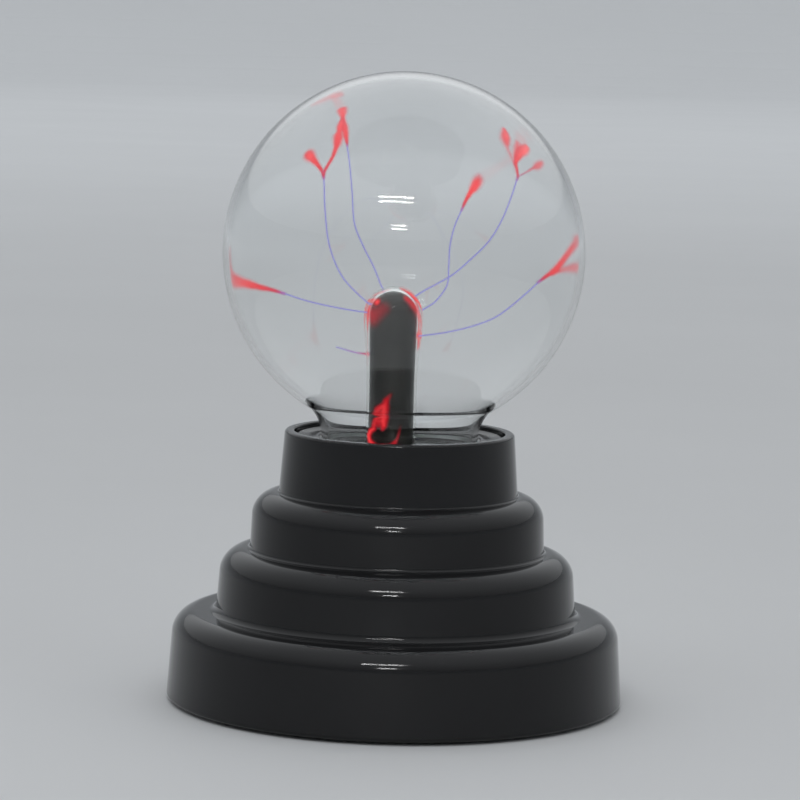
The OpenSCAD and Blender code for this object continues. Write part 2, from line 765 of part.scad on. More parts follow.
module switch_slider() {
    block_y = panel_in - 3.8;
    color([0.85, 0.85, 0.85]) translate([switch_on_x, 0, panel_z]) {
        translate([-2.4, block_y, -2])
            cube([4.8, panel_in - gap - 0.6 - play - block_y, 4]);
        difference() {
            translate([-1.8, block_y + 1, -1.45]) cube([3.6, knob_tip_y - block_y - 1, 2.9]);
            for (x = [-1.15, -0.15, 0.85]) translate([x, knob_tip_y - 0.4, -2])
                cube([0.4, 1, 4]);
        }
    }
}

module switch_wiper() {
    color(brass) translate([switch_on_x, 0, panel_z]) {
        translate([-2.2, panel_in - 4.25, -1.2]) cube([4.4, 0.4, 2.4]);
        for (x = [-1.5, 1.5]) translate([x - 0.5, panel_in - 4.6, -0.8]) cube([1, 0.5, 1.6]);
    }
}

module switch_screws() {
    color(steel) for (s = [-1, 1])
        translate([switch_x + s * switch_screw_x, panel_y + gap, panel_z])
            rotate([-90, 0, 0]) pan_screw(1.8, 1.1, 1, 4.5);
}

// --- leads ---------------------------------------------------------------------------------------

hv_route = [
    [-2, 5.9, 38.6], [-2, 8.5, 39], [-2, 10.3, 41], [-2, 10, 44.5], [-2, 6.5, 48],
    [-2, 2.5, 50.5], [-2, 0.4, 53], [-2, 0, 56], [-2, 0, 59], [-2, 0, 61.9]];
positive_route = [
    [-25.9, 20, 18.95], [-25.2, 23, 19.2], [-22, 26, 18.5], [-18, 28, 15.5],
    [-13.5, 29, 12.5], [-10, 29.9, 10.5], [-9.5, 30.9, 10.2], [-9.5, 31.9, 10.2]];
negative_route = [
    [-25.9, -20, 18.95], [-26.3, -22.5, 19.8], [-25, -23.5, 22.5], [-22.5, -22, 24.5],
    [-20.5, -18.8, 24.8], [-20, -17.5, 23.6], [-20, -17.5, 22.15]];
switch_route = [
    [-6.5, 31.9, 10.2], [-6.5, 30.7, 10.2], [-6, 28.6, 13], [-5.5, 26, 18.5],
    [-5.5, 23.5, 22.5], [-5.5, 21, 24.8], [-5.5, 18.4, 25], [-5.5, 17.5, 23.6],
    [-5.5, 17.5, 22.15]];
jack_routes = [
    [[9.5, 30.3, 10.2], [9.5, 29.1, 10.2], [9, 27.8, 14], [8.5, 25.8, 19],
     [8.5, 23, 23], [8.5, 20.5, 24.8], [8.5, 18.3, 24.9], [8.5, 17.5, 23.6],
     [8.5, 17.5, 22.15]],
    [[9.5, 30.3, 7.1], [9.7, 29.1, 7.1], [12, 27.8, 10.5], [12.5, 26.4, 17],
     [12.5, 23.5, 22.8], [12.5, 20.5, 24.8], [12.5, 18.3, 24.9], [12.5, 17.5, 23.6],
     [12.5, 17.5, 22.15]]];
lead_r = 0.6;
hv_lead_r = 1.1;

module hv_lead() { color([0.8, 0.8, 0.8]) lead(hv_route, hv_lead_r); }
module lead_positive() { color([0.75, 0.05, 0.05]) lead(positive_route, lead_r); }
module lead_negative() { color([0.05, 0.05, 0.05]) lead(negative_route, lead_r); }
module lead_switch() { color([0.75, 0.05, 0.05]) lead(switch_route, lead_r); }
module lead_jack() { color([0.05, 0.05, 0.05]) for (r = jack_routes) lead(r, lead_r); }

glass_globe();
electrode_tube();
electrode_coating();
steel_wool_plug();
exhaust_tip();
base_shell();
top_ring();
neck_sealant();
neck_gasket();
base_cover();
cover_screws();
rubber_feet();
battery_door();
cell_1();
cell_2();
cell_3();
cell_4();
contact_negative();
contact_bridge_1();
contact_bridge_2();
contact_bridge_3();
contact_positive();
circuit_board();
board_screws();
transformer_core();
transformer_bobbin();
primary_winding();
secondary_winding();
transistor();
heat_sink();
heat_sink_screw();
electrolytic_capacitor();
film_capacitor();
resistors();
diode();
dc_jack_housing();
dc_jack_nut();
dc_jack_pin();
dc_jack_contact();
switch_frame();
switch_base();
switch_terminals();
switch_slider();
switch_wiper();
switch_screws();
hv_lead();
lead_positive();
lead_negative();
lead_switch();
lead_jack();
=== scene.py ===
"""Looks of the desk plasma ball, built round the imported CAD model. Lists named _MM and the
capital-letter sizes from the section on the base onward are in millimetres, and every other
length is in metres."""

import math

import bmesh
import bpy
import numpy as np
from mathutils import Euler, Matrix, Vector


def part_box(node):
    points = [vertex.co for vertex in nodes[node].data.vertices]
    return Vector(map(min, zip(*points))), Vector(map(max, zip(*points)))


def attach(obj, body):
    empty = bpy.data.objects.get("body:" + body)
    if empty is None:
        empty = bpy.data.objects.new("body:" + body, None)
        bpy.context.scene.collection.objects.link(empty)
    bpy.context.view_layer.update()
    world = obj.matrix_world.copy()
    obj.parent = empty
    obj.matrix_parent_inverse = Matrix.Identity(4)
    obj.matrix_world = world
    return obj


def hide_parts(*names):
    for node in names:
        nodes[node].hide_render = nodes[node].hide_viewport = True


MM = 0.001
BODY = "lamp_body"

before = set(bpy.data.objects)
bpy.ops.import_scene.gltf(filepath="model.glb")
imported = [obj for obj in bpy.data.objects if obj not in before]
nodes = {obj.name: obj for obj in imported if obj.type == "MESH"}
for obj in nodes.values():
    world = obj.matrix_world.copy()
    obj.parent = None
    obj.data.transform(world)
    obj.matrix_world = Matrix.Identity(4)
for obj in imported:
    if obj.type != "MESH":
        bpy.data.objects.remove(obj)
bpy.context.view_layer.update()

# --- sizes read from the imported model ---

globe_low, globe_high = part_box("glass_globe")
GLOBE_R = globe_high.x
GLOBE_Z = globe_high.z - GLOBE_R
NECK_LOW = globe_low.z
tube_low, tube_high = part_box("electrode_tube")
ELECTRODE_X = (tube_low.x + tube_high.x) / 2
BULB_R = (tube_high.x - tube_low.x) / 2
TUBE_TOP = tube_high.z
TUBE_LOW = tube_low.z

# --- named sizes of the glasswork ---

GLASS_T = 1.3 * MM
NECK_START_R = 20.9 * MM
NECK_SWEEP_R = 8.0 * MM
NECK_ROUND = 2.0 * MM
CREASE_R = 19.6 * MM
SEAM_RIDGE = 0.03 * MM
SEAM_HALF_ANGLE = 8.0
TUBE_R = 5.5 * MM
FLARE_LOW = 70.0 * MM
FLARE_HIGH = TUBE_TOP - BULB_R
TUBE_WALL = 1.1 * MM
TUBE_WALL_LOW = 0.55 * MM
COATING_T = 0.15 * MM
GAS_CLEARANCE = 0.06 * MM
INNER_R = GLOBE_R - GLASS_T
GLOBE_CENTRE = Vector((0, 0, GLOBE_Z))


# --- shader helpers ---


class Shader:
    """A material whose nodes are added and joined in one call each."""

    def __init__(self, name):
        self.material = bpy.data.materials.new(name)
        self.material.use_nodes = True
        self.tree = self.material.node_tree
        self.tree.nodes.clear()

    def add(self, kind, values=None, **properties):
        """A node. values gives its inputs by name or number, as a value or as a socket to join."""
        node = self.tree.nodes.new("ShaderNode" + kind)
        for key, value in properties.items():
            setattr(node, key, value)
        for key, value in (values or {}).items():
            socket = node.inputs[key]
            if isinstance(value, bpy.types.NodeSocket):
                self.tree.links.new(value, socket)
            else:
                socket.default_value = value
        return node

    def ramp(self, factor, stops, interpolation="LINEAR"):
        """A colour ramp with stops as (position, colour)."""
        node = self.add("ValToRGB", {"Fac": factor})
        node.color_ramp.interpolation = interpolation
        elements = node.color_ramp.elements
        while len(elements) < len(stops):
            elements.new(0.5)
        for element, (position, colour) in zip(elements, stops):
            element.position = position
            element.color = (*colour, 1.0)
        return node.outputs["Color"]

    def noise(self, vector, scale, detail=4.0, roughness=0.5, distortion=0.0):
        values = {"Vector": vector, "Scale": scale, "Detail": detail}
        values.update({"Roughness": roughness, "Distortion": distortion})
        return self.add("TexNoise", values).outputs["Fac"]

    def span(self, value, low, high, start=0.3, end=0.7):
        """value from start to end becomes low to high."""
        values = {0: value, 1: start, 2: end, 3: low, 4: high}
        return self.add("MapRange", values, clamp=True).outputs["Result"]

    def mix(self, factor, a, b):
        """Colour a to colour b, each given as a socket or as three numbers."""
        a, b = [c if isinstance(c, bpy.types.NodeSocket) else (*c, 1.0) for c in (a, b)]
        return self.add("Mix", {0: factor, 6: a, 7: b}, data_type="RGBA").outputs[2]

    def math(self, operation, a, b=0.0):
        return self.add("Math", {0: a, 1: b}, operation=operation).outputs[0]

    def coordinates(self, stretch=(1, 1, 1)):
        """The object's own coordinates, which are the row frame's."""
        place = self.add("TexCoord").outputs["Object"]
        return self.add("Mapping", {"Vector": place, "Scale": stretch}).outputs["Vector"]

    def axis(self, index):
        """One of the object's own coordinates, in metres."""
        place = self.add("TexCoord").outputs["Object"]
        return self.add("SeparateXYZ", {0: place}).outputs[index]

    def bump(self, height, strength, depth, normal=None):
        values = {"Strength": strength, "Distance": depth, "Height": height}
        if normal is not None:
            values["Normal"] = normal
        return self.add("Bump", values).outputs["Normal"]

    def finish(self, surface):
        output = self.add("OutputMaterial")
        self.tree.links.new(surface, output.inputs["Surface"])
        return self.material


def tone(colour, factor):
    return tuple(min(1.0, c * factor) for c in colour)


def surface(
    name,
    colour,
    rough,
    mottle=0.15,
    patch=120.0,
    grain=1500.0,
    relief=0.15,
    depth=0.02 * MM,
    stretch=(1, 1, 1),
    wave=None,
    colour_node=None,
    metal_node=None,
    **sockets,
):
    """A Principled surface with mottled colour, uneven roughness and a fine grain. wave adds
    a wider relief (scale, strength, depth). colour_node and metal_node are functions that
    make the colour, in place of the flat one, and where it is metal."""
    s = Shader(name)
    where = s.coordinates(stretch)
    blotches = s.noise(where, patch, 5)
    if colour_node is None:
        stops = [(0.3, tone(colour, 1 - mottle)), (0.7, tone(colour, 1 + mottle))]
        base = s.ramp(blotches, stops)
    else:
        flat = colour_node(s)
        base = s.mix(s.span(blotches, 0.0, mottle), flat, (0.0, 0.0, 0.0))
    shine = s.span(s.noise(where, patch * 2.7, 6, 0.6), rough[0], rough[1])
    normal = s.bump(s.noise(where, grain, 3), relief, depth)
    if wave is not None:
        normal = s.bump(s.noise(where, wave[0], 2), wave[1], wave[2], normal)
    values = {"Base Color": base, "Roughness": shine, "Normal": normal}
    values.update(sockets)
    if metal_node is not None:
        values["Metallic"] = metal_node(s)
    return s.finish(s.add("BsdfPrincipled", values).outputs[0])


def clear_glass(name, tint, ior, streaks, streak_depth):
    """Blown glass: clear, with faint drawn streaks, and lamps shine straight through it."""
    s = Shader(name)
    where = s.coordinates((1, 1, 0.35))
    normal = s.bump(s.noise(where, streaks, 3, 0.55, 0.4), 0.25, streak_depth)
    hue = s.ramp(s.noise(where, 40, 3), [(0.3, tone(tint, 0.985)), (0.7, tone(tint, 1.0))])
    shine = s.span(s.noise(where, 210, 4), 0.0, 0.012)
    values = {"Base Color": hue, "Roughness": shine, "Normal": normal}
    values.update({"IOR": ior, "Transmission Weight": 1.0})
    glass = s.add("BsdfPrincipled", values)
    shadow = s.add("LightPath").outputs["Is Shadow Ray"]
    through = s.add("BsdfTransparent", {"Color": (0.93, 0.945, 0.945, 1.0)})
    both = s.add("MixShader", {0: shadow, 1: glass.outputs[0], 2: through.outputs[0]})
    return s.finish(both.outputs[0])


def glowing(name, stops, strength):
    """Glowing gas. The mesh's own gas_heat gives the colour and gas_share how solid it is."""
    s = Shader(name)
    heat = s.add("Attribute", attribute_name="gas_heat").outputs["Fac"]
    share = s.add("Attribute", attribute_name="gas_share").outputs["Fac"]
    flicker = s.span(s.noise(s.coordinates(), 900, 3), -0.03, 0.03)
    hue = s.ramp(s.math("ADD", heat, flicker), stops)
    light = s.add("Emission", {"Color": hue, "Strength": strength})
    clear = s.add("BsdfTransparent")
    both = s.add("MixShader", {0: share, 1: clear.outputs[0], 2: light.outputs[0]})
    return s.finish(both.outputs[0])


# --- mesh helpers ---


def new_object(name, vertices, faces, material, smooth=True, sharp=35.0):
    mesh = bpy.data.meshes.new(name)
    mesh.from_pydata([tuple(v) for v in vertices], [], faces)
    mesh.validate()
    mesh.update()
    obj = bpy.data.objects.new(name, mesh)
    bpy.context.scene.collection.objects.link(obj)
    mesh.materials.append(material)
    if smooth:
        mesh.shade_smooth()
        mesh.set_sharp_from_angle(angle=math.radians(sharp))
    return obj


def arc(cx, cz, r, start, end, steps):
    """Points (r, z) on an arc in the plane of a lathe profile, angles in degrees."""
    angles = [math.radians(start + (end - start) * i / steps) for i in range(steps + 1)]
    return [(cx + r * math.cos(a), cz + r * math.sin(a)) for a in angles]


def eased(profile, near=0.15 * MM, long=3.0 * MM):
    """The profile with a point added close to both ends of each long straight stretch, so
    that smooth shading stays flat there."""
    out = [profile[0]]
    for a, b in zip(profile, profile[1:]):
        span = Vector(b[:2]) - Vector(a[:2])
        if span.length > long and len(a) == len(b) == 2:
            step = span.normalized() * near
            out.append((a[0] + step.x, a[1] + step.y))
            out.append((b[0] - step.x, b[1] - step.y))
        out.append(b)
    return out


def lathe(name, profile, material, centre_x=0.0, steps=192, closed=True):
    """Turns a profile of (r, z) or (r, z, own centre x) about a vertical axis. closed joins
    the profile's last point to its first."""
    vertices, faces, rings = [], [], []
    for point in eased(profile):
        r, z = point[0], point[1]
        cx = point[2] if len(point) > 2 else centre_x
        start = len(vertices)
        if r < 1e-7:
            vertices.append((cx, 0.0, z))
            rings.append([start] * steps)
            continue
        for k in range(steps):
            a = 2 * math.pi * k / steps
            vertices.append((cx + r * math.cos(a), r * math.sin(a), z))
        rings.append(list(range(start, start + steps)))
    pairs = list(zip(rings, rings[1:]))
    if closed:
        pairs.append((rings[-1], rings[0]))
    for a, b in pairs:
        for k in range(steps):
            n = (k + 1) % steps
            quad = [a[k], b[k], b[n], a[n]]
            face = [v for i, v in enumerate(quad) if v not in quad[:i]]
            if len(face) > 2:
                faces.append(face)
    return new_object(name, vertices, faces, material)


def grid_faces(columns, rows):
    """Four-sided faces of a grid whose points are listed row by row."""
    return [
        [j * columns + i, j * columns + i + 1, (j + 1) * columns + i + 1, (j + 1) * columns + i]
        for j in range(rows - 1)
        for i in range(columns - 1)
    ]


def smooth_path(points, step):
    """A Catmull-Rom curve through the points, at about this step. Each point may carry
    more numbers after its first three, and they are blended too."""
    p = [np.array(q, float) for q in points]
    p = [2 * p[0] - p[1], *p, 2 * p[-1] - p[-2]]
    out = []
    for i in range(1, len(p) - 2):
        a, b, c, d = p[i - 1], p[i], p[i + 1], p[i + 2]
        count = max(2, int(np.linalg.norm((c - b)[:3]) / step))
        for k in range(count):
            t = k / count
            q = 0.5 * (
                2 * b
                + (c - a) * t
                + (2 * a - 5 * b + 4 * c - d) * t * t
                + (3 * b - a - 3 * c + d) * t**3
            )
            q[3:] = b[3:] + (c - b)[3:] * t * t * (3 - 2 * t)
            out.append(q)
    out.append(p[-2])
    return np.array(out)


class GlowMesh:
    """Collects glowing tubes or a patch of one piece. Each vertex has its heat, and its
    share, which is how solid the gas looks there."""

    CAP_STEPS = 5

    def __init__(self):
        self.vertices, self.faces, self.heat, self.share = [], [], [], []

    def cap(self, row, along, across):
        """The row moved along its tangent and narrowed, where a tube's end rounds off."""
        centre, tangent, side, radius, heat, power = row
        return (centre + tangent * radius * along, tangent, side, radius * across, heat, power)

    def tube(self, path, scale, extra, warmth, share, sides):
        """Sweeps a round section along rows of x, y, z, radius, heat, strength. scale and
        extra make a halo from the same path, with its own warmth. The ends are rounded, and
        nothing leaves the glass."""
        centres, radii, heats = path[:, :3], path[:, 3] * scale + extra, path[:, 4] + warmth
        powers = path[:, 5]
        count = len(centres)
        tangents = np.gradient(centres, axis=0)
        tangents /= np.linalg.norm(tangents, axis=1)[:, None]
        side = np.cross(tangents[0], (0.3, 0.9, 0.2))
        rows = []
        for i in range(count):
            side = side - tangents[i] * (side @ tangents[i])
            side /= np.linalg.norm(side)
            rows.append((centres[i], tangents[i], side.copy(), radii[i], heats[i], powers[i]))
        turns = [math.pi / 2 * k / self.CAP_STEPS for k in range(1, self.CAP_STEPS)]
        start = [self.cap(rows[0], -math.cos(a), math.sin(a)) for a in turns]
        end = [self.cap(rows[-1], math.sin(a), math.cos(a)) for a in turns]
        rows = start + rows + end
        base = len(self.vertices)
        for centre, tangent, across, radius, heat, power in rows:
            other = np.cross(tangent, across)
            for k in range(sides):
                a = 2 * math.pi * k / sides
                point = centre + radius * (math.cos(a) * across + math.sin(a) * other)
                self.vertices.append(inside_glass(point))
                self.heat.append(heat)
                self.share.append(share * power)
        for i in range(len(rows) - 1):
            for k in range(sides):
                a = base + i * sides + k
                b = base + i * sides + (k + 1) % sides
                self.faces.append([a, b, b + sides, a + sides])
        self.faces.append([base + k for k in reversed(range(sides))])
        top = base + (len(rows) - 1) * sides
        self.faces.append([top + k for k in range(sides)])

    def make(self, name, material):
        obj = new_object(name, self.vertices, self.faces, material, sharp=180.0)
        for key, values in (("gas_heat", self.heat), ("gas_share", self.share)):
            attribute = obj.data.attributes.new(key, "FLOAT", "POINT")
            attribute.data.foreach_set("value", np.array(values, np.float32))
        obj.visible_shadow = False
        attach(obj, BODY)
        return obj


def inside_glass(point):
    """The point, moved inward onto the inner face of the globe if it is past it."""
    away = Vector(point) - GLOBE_CENTRE
    limit = INNER_R - GAS_CLEARANCE
    if away.length > limit:
        away = away.normalized() * limit
    return tuple(GLOBE_CENTRE + away)


# --- camera, floor and lights ---

EYE = (-0.12 * MM, -764.7 * MM, 151.1 * MM)
EYE_DOWN = 0.110
EYE_ROLL = 0.024
LENS = 158.3
SENSOR = 36.0

camera = bpy.data.objects.new("camera", bpy.data.cameras.new("camera"))
bpy.context.scene.collection.objects.link(camera)
camera.data.lens = LENS
camera.data.sensor_width = SENSOR
camera.data.clip_start = 0.01
camera.data.clip_end = 100.0  # past the cove's far side
camera.location = EYE
aim = Euler((math.pi / 2 - EYE_DOWN, 0, 0)).to_matrix()
camera.rotation_mode = "QUATERNION"
camera.rotation_quaternion = (aim @ Matrix.Rotation(EYE_ROLL, 3, "Z")).to_quaternion()
bpy.context.scene.camera = camera

COVE_FLAT_R = 6.0
COVE_SWEEP_R = 1.6
COVE_TOP = 1.7
COVE_NEAR_R = 0.3

cove_paint = surface(
    "cove_paint", (0.60, 0.61, 0.62), (0.6, 0.75), mottle=0.015, patch=1.5, grain=90.0,
    relief=0.05,
)
cove_profile = [
    (0.0, 0.0),
    (COVE_NEAR_R, 0.0),
    *arc(COVE_FLAT_R, COVE_SWEEP_R, COVE_SWEEP_R, -90, 0, 24),
    (COVE_FLAT_R + COVE_SWEEP_R, COVE_TOP),
]
cove = lathe("cove", cove_profile, cove_paint, steps=96, closed=False)

SKY_COLOUR = (0.94, 0.97, 1.0, 1.0)
SKY_UP = (0.0, 0.12, 0.99)
# how far up the sky looks, from and to, and its strength there
SKY_FADE = (-0.2, 1.0, 0.31, 1.05)

world = bpy.data.worlds.new("studio")
bpy.context.scene.world = world
world.use_nodes = True
sky = world.node_tree
background = sky.nodes["Background"]
background.inputs["Color"].default_value = SKY_COLOUR
direction = sky.nodes.new("ShaderNodeTexCoord").outputs["Generated"]
tilt = sky.nodes.new("ShaderNodeVectorMath")
tilt.operation = "DOT_PRODUCT"
tilt.inputs[1].default_value = SKY_UP
sky.links.new(direction, tilt.inputs[0])
fade = sky.nodes.new("ShaderNodeMapRange")
fade.interpolation_type = "SMOOTHSTEP"
for socket, value in zip(fade.inputs[1:5], SKY_FADE):
    socket.default_value = value
sky.links.new(tilt.outputs["Value"], fade.inputs[0])
sky.links.new(fade.outputs["Result"], background.inputs["Strength"])


def aimed(obj, azimuth, elevation, distance):
    """Places obj round the globe with its -Z towards it. Azimuth 0 is the camera's side
    and 90 is +X."""
    bpy.context.scene.collection.objects.link(obj)
    a, e = math.radians(azimuth), math.radians(elevation)
    away = Vector((math.sin(a) * math.cos(e), -math.cos(a) * math.cos(e), math.sin(e)))
    obj.location = GLOBE_CENTRE + away * distance
    obj.rotation_mode = "QUATERNION"
    obj.rotation_quaternion = away.to_track_quat("Z", "Y")
    obj.visible_camera = False


def lamp(name, azimuth, elevation, distance, size, power):
    """An area lamp, which shows as a crisp strip in the glass and on the base."""
    data = bpy.data.lights.new(name, "AREA")
    data.shape = "RECTANGLE"
    data.size, data.size_y = size
    data.energy = power
    aimed(bpy.data.objects.new(name, data), azimuth, elevation, distance)


SOFTBOX_STEPS = 12


def softbox(name, azimuth, elevation, distance, size, strength):
    """A panel that glows softly, fading to nothing at its edges."""
    s = Shader(name + "_light")
    fades = []
    for i in (0, 1):
        reach = s.math("DIVIDE", s.axis(i), size[i] / 2)
        fades.append(s.math("SUBTRACT", 1.0, s.math("POWER", s.math("ABSOLUTE", reach), 2.0)))
    power = s.math("MULTIPLY", s.math("MULTIPLY", *fades), strength)
    light = s.add("Emission", {"Color": (1, 1, 1, 1), "Strength": power})
    lines = SOFTBOX_STEPS + 1
    places = [i / SOFTBOX_STEPS - 0.5 for i in range(lines)]
    grid = [(x * size[0], y * size[1], 0.0) for y in places for x in places]
    mesh = bpy.data.meshes.new(name)
    mesh.from_pydata(grid, [], grid_faces(lines, lines))
    mesh.materials.append(s.finish(light.outputs[0]))
    obj = bpy.data.objects.new(name, mesh)
    aimed(obj, azimuth, elevation, distance)
    obj.visible_shadow = False
    obj.visible_glossy = False
    obj.visible_transmission = False


STRIP_FAR = 1.25
HIGH_STRIP, HIGH_POWER = (0.43, 0.008), 1.3
LOW_STRIP, LOW_POWER = (0.21, 0.006), 0.55
lamp("strip_high_upper", -6.5, 38.5, STRIP_FAR, HIGH_STRIP, HIGH_POWER)
lamp("strip_high_lower", -6.5, 35.5, STRIP_FAR, HIGH_STRIP, HIGH_POWER)
lamp("strip_low_upper", -3.4, 20.6, STRIP_FAR, LOW_STRIP, LOW_POWER)
lamp("strip_low_lower", -3.4, 18.5, STRIP_FAR, LOW_STRIP, LOW_POWER)
softbox("overhead", 150, 76, 1.8, (2.6, 2.6), 0.8)
softbox("side_left", -110, 30, 1.6, (0.9, 0.9), 0.9)
softbox("side_right", 110, 30, 1.6, (0.9, 0.9), 0.9)

bpy.context.scene.view_settings.view_transform = "Standard"
bpy.context.scene.cycles.transparent_max_bounces = 48
bpy.context.scene.cycles.transmission_bounces = 24
bpy.context.scene.cycles.max_bounces = 24

# --- glass globe and electrode ---


def flared(z, low_r, high_r):
    """A radius that grows smoothly from the electrode's tube to its bulb."""
    t = min(1.0, max(0.0, (z - FLARE_LOW) / (FLARE_HIGH - FLARE_LOW)))
    return low_r + (high_r - low_r) * t * t * (3 - 2 * t)


def electrode_radius(z):
    return flared(z, TUBE_R, BULB_R)


def electrode_profile(low_r, high_r, low):
    """An outline of the electrode from its top down to z = low."""
    dome = arc(0, FLARE_HIGH, high_r, 90, 0, 20)
    heights = [FLARE_HIGH + (FLARE_LOW - FLARE_HIGH) * i / 14 for i in range(1, 15)]
    side = [(flared(z, low_r, high_r), z) for z in heights]
    return [(0.0, dome[0][1]), *dome[1:], *side, (low_r, low)]


BALL_STEPS = 132
SWEEP_STEPS = 60
FOOT_CHAMFER = 0.8 * MM
TUBE_PLAY = 0.02 * MM
COATING_GAP = 0.05 * MM

start_angle = math.degrees(math.asin(NECK_START_R / GLOBE_R))
neck_start_z = GLOBE_Z - GLOBE_R * math.cos(math.radians(start_angle))
neck_r = NECK_START_R - NECK_SWEEP_R * (1 - math.sin(math.radians(start_angle)))
neck_low_z = neck_start_z - NECK_SWEEP_R * math.cos(math.radians(start_angle))
neck_in = neck_r - GLASS_T
outside = [
    (0.0, GLOBE_Z + GLOBE_R),
    *arc(0, GLOBE_Z, GLOBE_R, 90, -90 + start_angle, BALL_STEPS)[1:],
    *arc(neck_r + NECK_SWEEP_R, neck_low_z, NECK_SWEEP_R, 90 + start_angle, 180, 12)[1:],
    *arc(neck_r - NECK_ROUND, NECK_LOW + NECK_ROUND, NECK_ROUND, 0, -90, 8),
]
inner_bottom = NECK_LOW + GLASS_T
sweep_centre = neck_r + NECK_SWEEP_R
sweep_in = NECK_SWEEP_R + GLASS_T
seam_angle = math.degrees(math.acos((CREASE_R - sweep_centre) / sweep_in))


def neck_inside(angle):
    """Point on the inside of the neck's sweep, with a low ridge along the seam."""
    off = (angle - seam_angle) / SEAM_HALF_ANGLE
    ridge = SEAM_RIDGE * math.cos(off * math.pi / 2) ** 2 if abs(off) < 1 else 0.0
    a = math.radians(angle)
    reach = sweep_in + ridge
    return (sweep_centre + reach * math.cos(a), neck_low_z + reach * math.sin(a))


inside = [
    (neck_in - FOOT_CHAMFER, inner_bottom),
    (neck_in, inner_bottom + FOOT_CHAMFER),
    *[neck_inside(angle) for angle in np.linspace(180, 90 + start_angle, SWEEP_STEPS)],
    *arc(0, GLOBE_Z, INNER_R, -90 + start_angle, 90, BALL_STEPS)[1:-1],
    (0.0, GLOBE_Z + INNER_R),
]
seal = TUBE_R + TUBE_PLAY
globe_profile = [
    *outside,
    (seal, NECK_LOW, ELECTRODE_X),
    (seal, inner_bottom, ELECTRODE_X),
    *inside,
]
globe_glass = clear_glass("globe_glass_look", (0.985, 0.995, 0.995), 1.43, 45, 0.004 * MM)
globe = lathe("blown_globe", globe_profile, globe_glass, steps=256, closed=False)
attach(globe, BODY)
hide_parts("glass_globe")

tube_glass = clear_glass("electrode_glass_look", (0.95, 0.96, 0.94), 1.3, 160, 0.02 * MM)
tube_profile = [
    *electrode_profile(TUBE_R, BULB_R, TUBE_LOW),
    *reversed(electrode_profile(TUBE_R - TUBE_WALL_LOW, BULB_R - TUBE_WALL, TUBE_LOW)),
]
tube = lathe("electrode_sleeve", tube_profile, tube_glass, ELECTRODE_X, 96, closed=False)
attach(tube, BODY)
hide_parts("electrode_tube")

coating_look = surface(
    "graphite_look", (0.010, 0.0095, 0.008), (0.45, 0.75), mottle=0.5, patch=260.0,
    grain=1600.0, relief=0.3, depth=0.04 * MM, **{"Specular IOR Level": 0.08},
)
coating_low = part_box("electrode_coating")[0].z
coating_low_r = TUBE_R - TUBE_WALL_LOW - COATING_GAP
coating_high_r = BULB_R - TUBE_WALL - COATING_GAP
coating_profile = [
    *electrode_profile(coating_low_r, coating_high_r, coating_low),
    *reversed(
        electrode_profile(coating_low_r - COATING_T, coating_high_r - COATING_T, coating_low)
    ),
]
coating = lathe(
    "electrode_blackening", coating_profile, coating_look, ELECTRODE_X, 96, closed=False
)
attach(coating, BODY)
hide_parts("electrode_coating")

# --- glowing gas threads ---

VIOLET = 0.0
RED = 0.75
GLOW_STOPS = [
    (0.0, (0.22, 0.22, 0.54)),
    (0.25, (0.34, 0.12, 0.34)),
    (0.5, (0.50, 0.022, 0.07)),
    (0.8, (0.70, 0.013, 0.024)),
    (1.0, (0.96, 0.07, 0.075)),
]
gas_look = glowing("gas_look", GLOW_STOPS, 1.1)

STEM_R = 0.11
STEM_STEP, STEM_SIDES = 0.6 * MM, 12
BRUSH_STEP, BRUSH_SIDES = 0.35 * MM, 20
